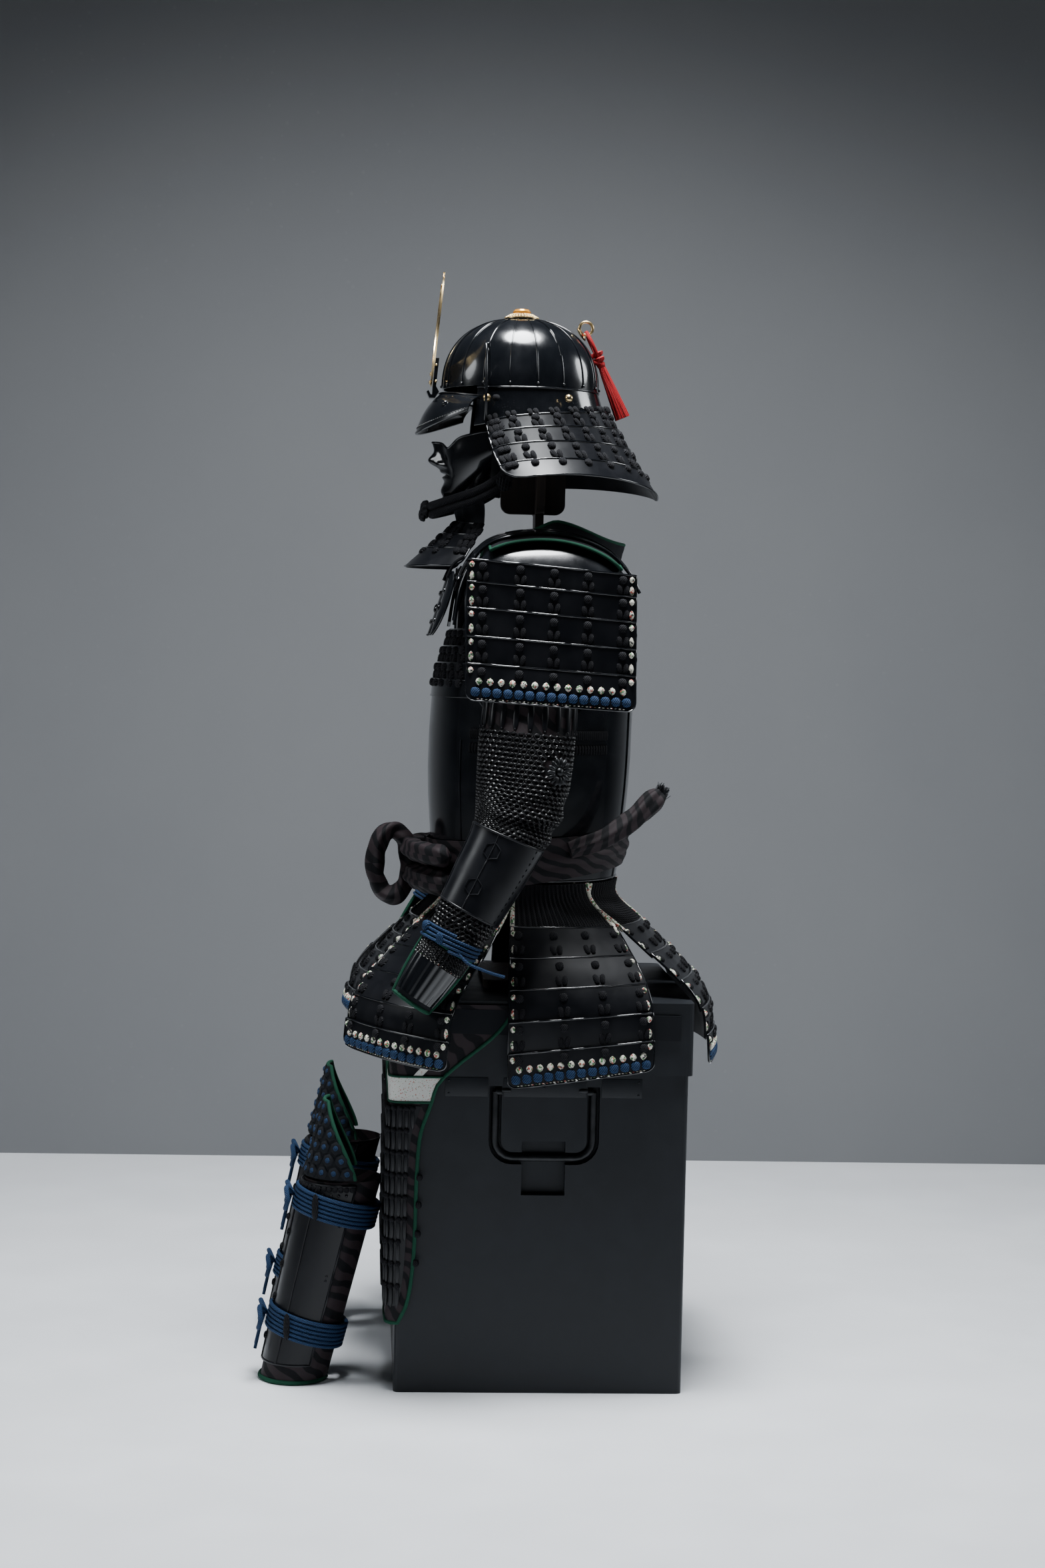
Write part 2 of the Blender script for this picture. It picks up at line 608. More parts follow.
def panelMeshes(at, bounds, step, width, tall, plate=2.2, corner=14, columns=20, rim=1.3):
    parts, rims = [], []
    for i, (start, end) in enumerate(zip(bounds, bounds[1:])):
        last = i == len(bounds) - 2
        place = lamePlace(at, start, end if last else end + 0.03, step, last, corner, width, tall)
        edge = [0, 0.004, 0.015, 0.035, 0.06]
        us = edge + steps(columns - 8, 0.09, 0.91) + [1 - share for share in reversed(edge)]
        parts.append(gridMesh(us, steps(4), place, (width, tall * (end - start)), wall=plate))
        ts = steps(5, 1.0 if last else 0.9, 0.0)
        path = [place(0, t) for t in ts] + [place(u, 0) for u in us[1:-1]]
        path += [place(1, t) for t in reversed(ts)]
        if last:
            path += [place(u, 1) for u in reversed(us[1:-1])]
        rims.append(tubeMesh(path, rim, 6, loop=last))
    return joined(*parts), joined(*rims)


def addPanel(name, meshes, nodes, pair=False):
    plates, rims = meshes
    addPiece(name, plates, "satinLacquer", nodes, pair=pair, hard=60)
    addPiece(name + "Rims", rims, "blackLacquer", pair=pair, hard=60)


def lacingPlaces(at, bounds, columns, step, width, doubled=()):
    # The black knots: one at the top of each lame and a leaning pair that goes in under the next.
    places = []
    for i, (start, end) in enumerate(zip(bounds, bounds[1:])):
        last = i == len(bounds) - 2

        def place(u, v):
            return at(u, v, step * (0.5 if last else 0.5 - (v - start) / (end - start)))

        for u in columns:
            for side in (-1, 1) if u in doubled else (0,):
                along = side * 4.5 / width
                jitter = random.uniform(-4, 4)
                places.append(seatOn(place, u + along, lerp(start, end, 0.27 if not last else 0.2),
                                     (12, 12, 9), jitter))
                if last:
                    continue
                for lean in (-1, 1):
                    places.append(seatOn(place, u + along, lerp(start, end, 0.76), (8.2, 16, 7.5),
                                         lean * -9 + jitter, (lean * 4.4, 0)))
    return places


def edgePlaces(at, bounds, step, width, inset=6.0):
    places = []
    for i, (start, end) in enumerate(zip(bounds, bounds[1:])):
        last = i == len(bounds) - 2

        def place(u, v):
            return at(u, v, step * (0.5 if last else 0.5 - (v - start) / (end - start)))

        for u in (inset / width, 1 - inset / width):
            places.append(seatOn(place, u, lerp(start, end, 0.22 if not last else 0.18), (8, 9.5, 8)))
            if not last:
                places.append(seatOn(place, u, lerp(start, end, 0.74), (7.5, 15, 7)))
    return places


def rowPlaces(at, v, step, count, size, inset):
    def place(u, row):
        return at(u, row, step * 0.5)
    return [seatOn(place, lerp(inset, 1 - inset, i / (count - 1)), v, size, random.uniform(-5, 5))
            for i in range(count)]


# Helmet.

bowl = {"middleY": -41, "halfX": 98, "halfY": 112, "baseZ": 1394, "height": 103, "roundness": 2.35,
        "crownHole": 83, "plates": 18, "ribOut": 1.35, "wall": 2.0}


def onBowl(bearing, rise, out):
    reach = cos(radians(rise)) ** (2 / bowl["roundness"])
    high = sin(radians(rise)) ** (2 / bowl["roundness"])
    return (
        (bowl["halfX"] + out) * reach * sin(radians(bearing)),
        bowl["middleY"] - (bowl["halfY"] + out) * reach * cos(radians(bearing)),
        bowl["baseZ"] + (bowl["height"] + out) * high,
    )


def makeBowl(b):
    def place(bearing, rise):
        offset = (bearing + 10) % 20 - 10
        return onBowl(bearing, rise, 0.35 * sin(pi * abs(offset) / 20) ** 0.6)

    shell = gridMesh(steps(180, 0, 360), steps(30, b["crownHole"], 0), place, (640, 190), b["wall"],
                     closed=True)
    addPiece("helmetBowl", shell, "blackLacquer", ["helmet_bowl"], hard=70)
    bearings = [i * 360 / b["plates"] for i in range(b["plates"])]
    ribs = [tubeMesh([onBowl(bearing, rise, 0.5) for rise in steps(24, 1.5, 82)], b["ribOut"], 6,
                     swell=lambda share: lerp(1, 0.6, share)) for bearing in bearings]
    addPiece("helmetRibs", joined(*ribs), "blackLacquer", hard=60)
    places = [seat(onBowl(bearing, 1.2, 1.6), (sin(radians(bearing)), -cos(radians(bearing)), 0.1),
                   size=(4.4, 4.4, 4))
              for bearing in bearings]
    addPiece("helmetRivets", strewn(bead, places), "blackLacquer")


crown = {"cone": [(23.5, 1.6), (20.5, 3.4), (17.2, 5.2)], "beads": 32}


def makeCrown(c):
    base = bowl["baseZ"] + bowl["height"] + 0.5
    profile = [(0, 0), (25, 0), (25, 1.2), (23.5, 2), (14.5, 7), (13, 8), (0, 8)]
    ring = turnedMesh(profile, (0, bowl["middleY"], base), 48)
    places = []
    for radius, high in c["cone"]:
        for i in range(c["beads"]):
            angle = 2 * pi * i / c["beads"]
            point = (radius * sin(angle), bowl["middleY"] + radius * cos(angle), base + high)
            places.append(seat(point, (sin(angle) * 0.5, cos(angle) * 0.5, 0.85), (0, 0, 1), (3, 3, 3)))
    addPiece("crownRing", joined(ring, strewn(bead, places)), "gold", ["helmet_crown_fitting"])
    cap = [(0, 8), (12.4, 8), (13, 9), (13, 10.6), (11.6, 11.6), (10.4, 13.6), (9, 14), (0, 14)]
    addPiece("crownCap", turnedMesh(cap, (0, bowl["middleY"], base), 40), "amberGilt")


peak = {"spread": 58, "reachX": 122, "reachY": 149, "frontZ": 1331, "frontRise": 57, "rootZ": 1388,
        "rootDrop": 20, "crown": 5}


def onPeak(u, v, out=0.0):
    bearing = radians(lerp(-peak["spread"], peak["spread"], u))
    turn = 1 - cos(bearing)
    bulge = 4 * v * (1 - v) * peak["crown"] + out
    rootX, rootY = bowl["halfX"] + 2.6, bowl["halfY"] + 2.6
    z = lerp(peak["rootZ"] - peak["rootDrop"] * turn, peak["frontZ"] + peak["frontRise"] * turn, v)
    return (
        (lerp(rootX, peak["reachX"], v) + bulge) * sin(bearing),
        bowl["middleY"] - (lerp(rootY, peak["reachY"], v) + bulge) * cos(bearing),
        z + bulge * 0.6,
    )


def makePeak():
    plate = gridMesh(steps(48), steps(10), onPeak, (250, 60), 2.2)
    rim = tubeMesh([onPeak(u, 1, -0.6) for u in steps(60)], 2.0, 8)
    root = tubeMesh([onPeak(u, 0.02, 0.8) for u in steps(60)], 1.4, 6)
    studs = [seatOn(onPeak, u, 0.42, (10, 10, 8)) for u in (0.2, 0.8)]
    line = [seatOn(onPeak, u, 0.9, (2.2, 2.2, 1.8), lift=0.2) for u in steps(56, 0.02, 0.98)]
    addPiece("helmetPeak", joined(plate, rim, root, strewn(bead, studs + line)), "blackLacquer",
             ["helmet_peak"], hard=60)


browBand = {"front": 55, "turnbackRoot": 84.3, "flareX": 6, "flareY": 8, "frontBottom": 1330,
            "backBottom": 1368, "turnbackY": -95.5, "tip": 124, "top": 1450, "bottom": 1344}


def onBand(u, v, out=0.0):
    b = browBand
    bearing = radians(lerp(b["front"], 360 - b["front"], u))
    backness = (1 - cos(bearing + pi)) / 2
    low = lerp(b["backBottom"], b["frontBottom"], backness)
    return (
        (bowl["halfX"] + b["flareX"] * v + out) * sin(bearing),
        bowl["middleY"] - (bowl["halfY"] + b["flareY"] * v + out) * cos(bearing),
        lerp(bowl["baseZ"] - 0.5, low, v),
    )


def onTurnback(u, v, out=0.0):  # a leaf-shaped plate that stands up beside the brow
    b = browBand
    z = lerp(b["top"], b["bottom"], v)
    middle = (2 * v - 1) ** 2
    outer = b["tip"] - 15 * middle ** 1.3
    inner = b["turnbackRoot"] + lerp(26, 0, smooth(0.0, 0.55, v)) + 2 * sin(pi * v)
    return (lerp(inner, outer, u), b["turnbackY"] + 4 * (1 - u) ** 2 - out, z)


def makeBrowBand():
    band = gridMesh(steps(64), steps(6), onBand, (520, 50), 2.2)
    foot = tubeMesh([onBand(u, 1, -0.6) for u in steps(64)], 1.3, 6)
    waist = tubeMesh([onBand(u, 0.04, 1.0) for u in steps(64)], 1.4, 6)
    addPiece("helmetBrowBand", joined(band, foot, waist), "blackLacquer", ["helmet_brow_band"], hard=60)
    plate = gridMesh(steps(10), steps(20), onTurnback, (34, 106), 2.4)
    path = outline(onTurnback, 14, 4)
    middle = onTurnback(0.5, 0.5)
    boss = strewn(bead, [seat((middle[0], middle[1] - 0.5, middle[2]), (0, -1, 0), size=(16, 16, 7))])
    addPiece("helmetTurnback", joined(plate, tubeMesh(path, 1.5, 6, loop=True), boss), "blackLacquer",
             pair=True, hard=60)
    rings, knots = [], []
    for y, z in ((-93, 1375), (22, 1377)):
        x = 98 + 5.5
        rings.append(seat((x, y, z), (1, 0, 0), size=(12, 12, 9)))
        knots.append(((x, y + 13, z), (11, 10, 9)) if y < 0 else ((x, y, z), (5, 5, 11)))
    knots = [seat(place, (1, 0, 0), size=size) for place, size in knots]
    addPiece("browRivet", strewn(bead, rings), "gold", pair=True)
    addPiece("browKnot", strewn(knot, knots), "blackCord", pair=True)


neckGuard = {"topX": 109, "topY": 128, "bottomX": 172, "bottomY": 193, "middleTop": -41,
             "middleBottom": -36, "frontTop": 66, "frontBottom": 82, "topZ": 1339, "topRise": 28,
             "bottomZ": 1254, "backDrop": 11, "arch": 17, "lames": [0, 0.21, 0.45, 0.74, 1], "step": 4,
             "columns": 17}


def onNeckGuard(u, v, out):
    g = neckGuard
    front = lerp(g["frontTop"], g["frontBottom"], v)
    backness = clamp(1 - 2 * abs(u - 0.5))
    bearing = radians(lerp(front, 360 - front, u))
    top = g["topZ"] + g["topRise"] * sqrt(backness)
    bottom = g["bottomZ"] - g["backDrop"] * backness + g["arch"] * sin(pi * backness ** 0.7)
    flare = 3 * v * v
    reachX = lerp(g["topX"], g["bottomX"], v) + out + flare - 1.5
    reachY = lerp(g["topY"], g["bottomY"], v) + out + flare - 1.5
    middle = lerp(g["middleTop"], g["middleBottom"], v)
    return (reachX * sin(bearing), middle - reachY * cos(bearing), lerp(top, bottom, v))


def makeNeckGuard(g):
    width = 760
    panel = panelMeshes(onNeckGuard, g["lames"], g["step"], width, 118, corner=26, columns=72, rim=1.4)
    addPanel("neckGuard", panel, ["neck_guard"])
    inner = steps(g["columns"] - 3, 0.072, 0.928)
    places = lacingPlaces(onNeckGuard, g["lames"], [0.022, *inner, 0.978], g["step"], width, (0.022, 0.978))
    for u in [0.02, *inner, 0.98]:  # the row that ties the top lame to the brow band
        places += [seatOn(lambda a, b: onNeckGuard(a, b, 2), u, 0.0, (8, 12, 7.5), 0, (side * 4.2, 4))
                   for side in (-1, 1)]
    addPiece("neckGuardLacing", strewn(knot, places), "blackCord")


crest = {"radius": 90, "innerRise": 21, "bottomZ": 1398, "bottomY": -171, "tipZ": 1553, "lean": 5.5,
         "thick": 2.3}


def makeCrest(c):
    middle = c["bottomZ"] + c["radius"]
    innerMiddle = middle + c["innerRise"]
    tipAngle = asin((c["tipZ"] - middle) / c["radius"])
    tipX = c["radius"] * cos(tipAngle)
    innerTip = atan2(c["tipZ"] - innerMiddle, tipX)
    innerRadius = hypot(c["tipZ"] - innerMiddle, tipX)

    def place(u, v):
        outer, inner = lerp(-pi - tipAngle, tipAngle, u), lerp(-pi - innerTip, innerTip, u)
        x = lerp(innerRadius * cos(inner), c["radius"] * cos(outer), v)
        z = lerp(innerMiddle + innerRadius * sin(inner), middle + c["radius"] * sin(outer), v)
        ridge = 0.6 * sin(pi * v)
        return (x, c["bottomY"] + (z - c["bottomZ"]) * tan(radians(c["lean"])) - ridge * 0.5, z)

    addPiece("crestHorns", gridMesh(steps(72, 0.001, 0.999), steps(6), place, (420, 34), c["thick"]),
             "gold", ["crest"])
    pins = [seat((x, -171.5 + (z - 1398) * 0.0963, z), (0, -1, 0.1), size=(5, 5, 4)) for x in (-6, 6)
            for z in (1404, 1416)]
    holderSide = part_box("crest_holder")[1].x / mm + 0.4
    pins += [seat((side * holderSide, -163, z), (side, 0, 0), size=(4, 4, 3)) for side in (-1, 1)
             for z in (1405, 1428)]
    addPiece("crestPins", strewn(bead, pins), "gold")


tassel = {"ringY": 52, "ringZ": 1487, "knotY": 70, "knotZ": 1446, "endY": 108, "endZ": 1359, "strands": 64}


def makeTassel(t):
    ring = ringShape("rearRingShape", 9.5, 2.2, 28, 10)
    plate = seat((0, t["ringY"] - 7, t["ringZ"] - 9), (0, 0.8, 0.55), (1, 0, 0), (22, 16, 7))
    parts = strewn(ring, [seat((0, t["ringY"], t["ringZ"]), (1, 0, 0))])
    addPiece("rearRing", joined(parts, strewn(bead, [plate])), "gold", ["rear_ring"])
    top, end = Vector((0, t["knotY"], t["knotZ"])), Vector((0, t["endY"], t["endZ"]))
    way = (end - top).normalized()
    side = Vector((1, 0, 0))
    across = way.cross(side)
    knots = [seat(top + way * shift, way, (1, 0, 0), size, turn) for shift, size, turn in
             ((-6, (20, 17, 12), 20), (2, (17, 19, 13), -25), (10, (13, 13, 14), 0))]
    loops = []
    for lean in (-1, 1):
        loops.append(tubeMesh([top + side * lean * (4 + 7 * sin(pi * s)) + Vector((0, -18 * s, 36 * s))
                               for s in steps(12)],
                              2.6, 8))
        loops.append(tubeMesh([top + side * lean * 5 + across * (10 * sin(pi * s)) + way * (18 * s - 8)
                               for s in steps(10)],
                              2.4, 8))
    tiedKnot = addPiece("tasselKnot", joined(strewn(knot, knots), *loops), "redSilk")[0]
    path = through([(0, t["ringY"] + 3, t["ringZ"] - 9), (0, 63, 1462), (0, t["knotY"], t["knotZ"]),
                    top + way * 90], 20)
    hanger = addPiece("tasselCord", tubeMesh(path, 2.5, 8), "redSilk")[0]
    skirt = []
    for i in range(t["strands"]):
        angle, ring = i * 2.4, sqrt((i + 0.5) / t["strands"])
        fan = side * cos(angle) + across * sin(angle)
        wave = random.uniform(0, 6)
        strand = []
        for s in steps(9):
            point = top + way * lerp(8, 94, s) + fan * ring * (3.2 + 7.3 * s ** 0.8)
            strand.append(point + side * 0.5 * sin(wave + 9 * s))
        skirt.append(tubeMesh(strand, 1.15, 5))
    threads = addPiece("tasselSkirt", joined(*skirt), "redSilk", ["tassel"])[0]


makeBowl(bowl)
makeCrown(crown)
makePeak()
makeBrowBand()
makeNeckGuard(neckGuard)
makeCrest(crest)
makeTassel(tassel)
print("helmet made")


# Mask, throat guard and chin cord.

mask = {"middleY": -85, "halfX": 71, "depth": 68, "chinZ": 1240, "topZ": 1318, "sideRise": 14, "spread": 92,
        "jawWidth": 0.62, "jawDepth": 0.86, "jawRise": 26, "eyeBearing": 30, "eyeSpan": 14, "eyeDip": 12}
faceParts = [  # share of the height, its span, bearing either side, its span, way out
    (1.0, 0.24, 0, 9, 13), (0.66, 0.14, 0, 10, 20), (0.6, 0.06, 13, 6, 7), (0.1, 0.15, 0, 20, 8),
    (0.46, 0.035, 0, 17, 3.2), (0.36, 0.045, 0, 14, 3.6), (0.41, 0.02, 0, 22, -4),
    (0.74, 0.16, 46, 16, 3.5), (0.5, 0.14, 27, 6, -2.4),
]


def bell(distance, span):
    return exp(-((distance / span) ** 2))


def onMask(u, v, out=0.0):  # v runs down from the cheeks to the chin
    m = mask
    high = 1 - v
    bearing = lerp(-m["spread"], m["spread"], u)
    angle = radians(bearing)
    turn = 1 - cos(angle)
    jaw = lerp(m["jawWidth"], 1, sin(pi / 2 * min(1, high * 1.5)))
    face = sum(reach * bell(high - at, tall) * bell(abs(bearing) - beside, wide)
               for at, tall, beside, wide, reach in faceParts)
    eye = m["eyeDip"] * bell(abs(bearing) - m["eyeBearing"], m["eyeSpan"])
    low, top = m["chinZ"] + m["jawRise"] * turn * turn, m["topZ"] + m["sideRise"] * turn - eye
    return (
        (m["halfX"] * jaw + out) * sin(angle),
        m["middleY"] - (m["depth"] * lerp(m["jawDepth"], 1, high) + face + out) * cos(angle),
        lerp(top, low, v),
    )


throat = {"topX": 62, "topY": 52, "bottomX": 102, "bottomY": 105, "middleTop": -77, "middleBottom": -96,
          "topZ": 1206, "bottomZ": 1140, "spread": 74, "sideDrop": 6, "lames": [0, 0.26, 0.58, 1],
          "step": 3}


def onThroat(u, v, out=0.0):
    t = throat
    angle = radians(lerp(-t["spread"], t["spread"], u))
    return (
        (lerp(t["topX"], t["bottomX"], v) + out) * sin(angle),
        lerp(t["middleTop"], t["middleBottom"], v) - (lerp(t["topY"], t["bottomY"], v) + out) * cos(angle),
        lerp(t["topZ"], t["bottomZ"], v) - t["sideDrop"] * abs(sin(angle)) * (1 - v),
    )


chinRoute = [(0, -168, 1226), (30, -160, 1228), (56, -134, 1236), (74, -104, 1246), (84, -76, 1262),
             (88, -56, 1284), (92, -44, 1316)]


def makeFace():
    shell = gridMesh(steps(72), steps(44), onMask, (200, 80), 2.2)
    rim = tubeMesh([onMask(u, 0) for u in steps(60)], 1.6, 6)
    foot = tubeMesh([onMask(u, 1) for u in steps(60)], 1.6, 6)
    addPiece("halfMask", joined(shell, rim, foot), "blackLacquer", ["mask"], hard=60)
    width = 210
    addPanel("throatGuard", panelMeshes(onThroat, throat["lames"], throat["step"], width, 68, corner=10,
                                        columns=30),
             ["throat_guard"])
    places = lacingPlaces(onThroat, throat["lames"], [0.05, 0.24, 0.42, 0.58, 0.76, 0.95], throat["step"],
                          width, (0.05, 0.95))
    addPiece("throatGuardLacing", strewn(knot, places), "blackCord")

    def onNeck(u, v):  # the dark cloth that hangs from the mask to the throat guard
        top, foot = Vector(onMask(lerp(0.08, 0.92, u), 0.97, -3)), Vector(onThroat(u, 0.04, -3))
        pleat = 1.6 * sin(u * 44) * sin(pi * v) - 5 * sin(pi * v)
        middle = Vector((0, -70, top.z))
        return top.lerp(foot, v) + (top - middle).normalized() * pleat

    cloth = gridMesh(steps(90), steps(14), onNeck, (160, 50), 1.6)
    made = addPiece("throatCloth", cloth, "underCloth")[0]
    route = [(-x, y, z) for x, y, z in reversed(chinRoute[1:])] + chinRoute
    strands = [tubeMesh([point + Vector((0, 3, -11)) * share for point in through(route, 72)], 6.2, 10)
               for share in (0, 1)]
    bow = [seat((0, -172, 1222), (0, -1, 0), size=(30, 27, 20)),
           seat((0, -176, 1214), (0, -1, 0), size=(22, 20, 16))]
    bow += [seat((side * 86, -66, 1258), (side, 0, 0), size=(22, 26, 14), turn=25) for side in (-1, 1)]
    addPiece("chinCord", joined(*strands, strewn(knot, bow)), "blackCord", ["chin_cord"])


makeFace()


# Cuirass, shoulder straps, pads, collar and chest leaves.

torsoRows = [
    (700, -150, 112, 167), (747, -157, 119, 171), (839, -163, 128, 176), (932, -161, 131, 178),
    (987, -155, 132, 177), (1050, -134, 131, 172), (1110, -112, 124, 160),
]
frontEdge = [(700, 90), (890, 90), (915, 74), (940, 60), (975, 50), (1050, 42)]
backEdge = [(700, 90), (890, 90), (915, 76), (950, 63), (1000, 55), (1100, 50)]


def onTorso(bearing, z, out=0.0):
    front, back, halfX = (readTable(torsoRows, z, column) for column in (1, 2, 3))
    angle = radians(bearing)
    return ((halfX + out) * sin(angle), (front + back) / 2 - ((back - front) / 2 + out) * cos(angle), z)


def edgeAt(edge, z):
    return min(90, readTable(edge, z)) - 0.25


def onChest(u, v, out=0.0):
    z = lerp(1050, 955, v)
    half = edgeAt(frontEdge, z)
    return onTorso(lerp(-half, half, u), z, out)


def makeCuirass():
    def shell(middle, edge):
        def place(u, z):
            half = edgeAt(edge, z)
            return onTorso(middle + lerp(-half, half, u), z)
        return place

    front, back = shell(0, frontEdge), shell(180, backEdge)
    rows = [955, 945, 935, 925, 915, 905, 895, 890] + steps(12, 880, 700)
    belly = gridMesh(steps(56), rows, front, (520, 255), 2.2)
    chest, chestRims = panelMeshes(onChest, steps(4), 3, 280, 95, corner=0, columns=34)
    joints = [tubeMesh([onTorso(side * 45, z, 0.4) for z in steps(14, 895, 702)], 1.3, 6)
              for side in (-1, 1)]
    hem = tubeMesh([front(u, 701) for u in steps(60)], 1.6, 6)
    top = [tubeMesh([onTorso(side * edgeAt(frontEdge, z), z, 0.5) for z in steps(16, 953, 889)], 2.0, 6)
           for side in (-1, 1)]
    addPiece("cuirassFront", joined(belly, chest, chestRims, hem, *joints, *top), "blackLacquer",
             ["cuirass_front"], hard=60)
    rows = steps(10, 1100, 960) + [945, 930, 915, 905, 895, 890] + steps(12, 880, 700)
    shellBack = gridMesh(steps(56), rows, back, (540, 400), 2.2)
    joints = [tubeMesh([onTorso(180 + side * 22, z, 0.4) for z in steps(14, 960, 702)], 1.3, 6)
              for side in (-1, 1)]
    lames = [tubeMesh([back(u, z) for u in steps(40)], 1.6, 6) for z in (701, 965, 1000, 1035, 1070, 1099)]
    addPiece("cuirassBack", joined(shellBack, *joints, *lames), "blackLacquer", ["cuirass_back"], hard=60)
    places = lacingPlaces(onChest, steps(4), steps(9, 0.1, 0.9), 3, 280)
    for z in (905, 885):  # stacked lacing under the arm
        for bearing in steps(20, 52, edgeAt(frontEdge, z) - 2) + steps(22, 92 if z < 890 else 104, 132):
            for side in (-1, 1):
                point = onTorso(side * bearing, z, 1.5)
                places.append(seat(point, (sin(radians(side * bearing)), -cos(radians(bearing)), 0),
                                   size=(4.2, 15, 6)))
    for z in (1082, 1047, 1012, 977):
        half = edgeAt(backEdge, z)
        for u in steps(9, 0.08, 0.92):
            bearing = 180 + lerp(-half, half, u)
            point = onTorso(bearing, z, 1.0)
            places.append(seat(point, (sin(radians(bearing)), -cos(radians(bearing)), 0), size=(13, 10, 7)))
    addPiece("cuirassLacing", strewn(knot, places), "blackCord")
    addPiece("cuirassEdging", strewn(lozenge, edgePlaces(onChest, steps(4), 3, 280)), "patternedCord")


shoulderLine = [(-134, 1062), (-126, 1112), (-110, 1152), (-88, 1176), (-50, 1189), (0, 1192), (45, 1184),
                (84, 1166), (112, 1138), (126, 1112)]
shoulder = {"strap": (98, 134), "pad": (88, 166), "slope": 0.18, "from": 1 / 3, "to": 5 / 6}


def onShoulder(x, share, out=0.0):  # share runs from the back over to the chest
    rows = [(i, *point) for i, point in enumerate(reversed(shoulderLine))]
    key = share * (len(rows) - 1)
    y, z = readTable(rows, key, 1), readTable(rows, key, 2)
    along = [readTable(rows, min(key + 0.1, 9), c) - readTable(rows, max(key - 0.1, 0), c) for c in (1, 2)]
    long = hypot(*along)
    return (x, y + along[1] / long * out, z - along[0] / long * out - shoulder["slope"] * (x - 98))


def makeShoulders(s):
    def onStrap(x, v):
        return onShoulder(x, v, 0.6 - 0.0018 * (x - 116) ** 2)

    strap = gridMesh(steps(4, *s["strap"]), steps(40), onStrap, (36, 340), 3)
    edges = [tubeMesh([onShoulder(x, v, 0.2) for v in steps(36)], 1.7, 6) for x in s["strap"]]
    toggle = [seat(onShoulder(116, 0.86, 5), (0, -0.8, 0.6), size=(9, 30, 9), turn=80)]
    addPiece("shoulderStrap", joined(strap, *edges, strewn(bead, toggle)), "blackLacquer",
             ["shoulder_strap"], pair=True, hard=60)
    loop = tubeMesh(through([onShoulder(110, 0.80, 3), onShoulder(116, 0.84, 6), onShoulder(122, 0.88, 6),
                             onShoulder(116, 0.90, 5), onShoulder(108, 0.86, 4), onShoulder(110, 0.80, 3)],
                             28), 2.2, 6)
    addPiece("shoulderToggleCord", loop, "blackCord", pair=True)
    low, high = 1 - s["to"], 1 - s["from"]

    def onPad(x, share):
        quilt = 0.5 * abs(sin((x - 88) * 0.11)) * abs(sin(share * 34))
        return onShoulder(x, share, -3.6 + quilt)

    pad = gridMesh(steps(26, *s["pad"]), steps(36, low, high), onPad, (78, 190), 4)
    for made in addPiece("shoulderPad", pad, "underCloth", ["shoulder_pad"], pair=True):
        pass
    path = [onShoulder(88, share, -4.6) for share in steps(20, low, high)]
    path += [onShoulder(x, high, -4.6) for x in steps(8, *s["pad"])][1:]
    path += [onShoulder(166, share, -4.6) for share in steps(24, high, low)][1:]
    path += [onShoulder(x, low, -4.6) for x in steps(8, 166, 88)][1:-1]
    addPiece("shoulderPadBinding", tubeMesh(path, 2.4, 8, loop=True), "greenBinding", pair=True)

    def onWing(u, v):  # the lacquered plate that falls away under the pad
        x, y, z = onShoulder(lerp(140, 168, v), lerp(0.12, 0.9, u), -9)
        return (x + 22 * v, y, z - 60 * v * v)

    wing = gridMesh(steps(48), steps(12), onWing, (310, 80), 2.2)
    rim = tubeMesh([onWing(u, 1) for u in steps(48)], 1.6, 6)
    addPiece("shoulderWing", joined(wing, rim), "blackLacquer", pair=True, hard=60)


collar = {"halfX": 76, "reachY": 102, "middleY": 14, "flare": 10, "front": 62, "baseZ": 1158,
          "baseDrop": 18, "sideTop": 1206, "backTop": 1177, "frontDrop": 16}


def onCollar(u, v, out=0.0):
    c = collar
    bearing = radians(lerp(c["front"], 360 - c["front"], u))
    backness = (1 - cos(bearing)) / 2
    top = lerp(c["sideTop"], c["backTop"], smooth(0.45, 1, backness))
    top -= c["frontDrop"] * (1 - smooth(0.26, 0.5, backness))
    base = c["baseZ"] - c["baseDrop"] * backness
    return (
        (c["halfX"] + out) * sin(bearing),
        c["middleY"] - (c["reachY"] - c["flare"] * v + out) * cos(bearing),
        lerp(top, base, v),
    )


def makeCollar():
    def onQuilt(u, v):
        return onCollar(u, v, 0.6 * abs(sin(60 * u) * sin(9 * v)) - 0.5)

    quilted = gridMesh(steps(90), steps(12), onQuilt, (420, 45), 4)
    addPiece("standingCollar", quilted, "underCloth", ["collar"])[0]
    path = outline(onCollar, 5, 60, -2, foot=False)
    addPiece("collarBinding", tubeMesh(path, 2.4, 8), "greenBinding")


leaf = {"middleX": 92, "halfWidth": 27, "topZ": 1130, "bottomZ": 1042, "topY": -139, "bottomY": -166,
        "hollow": 10}


def onLeaf(u, v, out=0.0):
    width = leaf["halfWidth"] * sqrt(max(0.015, sin(pi * lerp(0.05, 0.97, v))))
    across = 2 * u - 1
    y = lerp(leaf["topY"], leaf["bottomY"], v) + leaf["hollow"] * across ** 2 * width / leaf["halfWidth"]
    return (leaf["middleX"] + across * width, y - out, lerp(leaf["topZ"], leaf["bottomZ"], v))


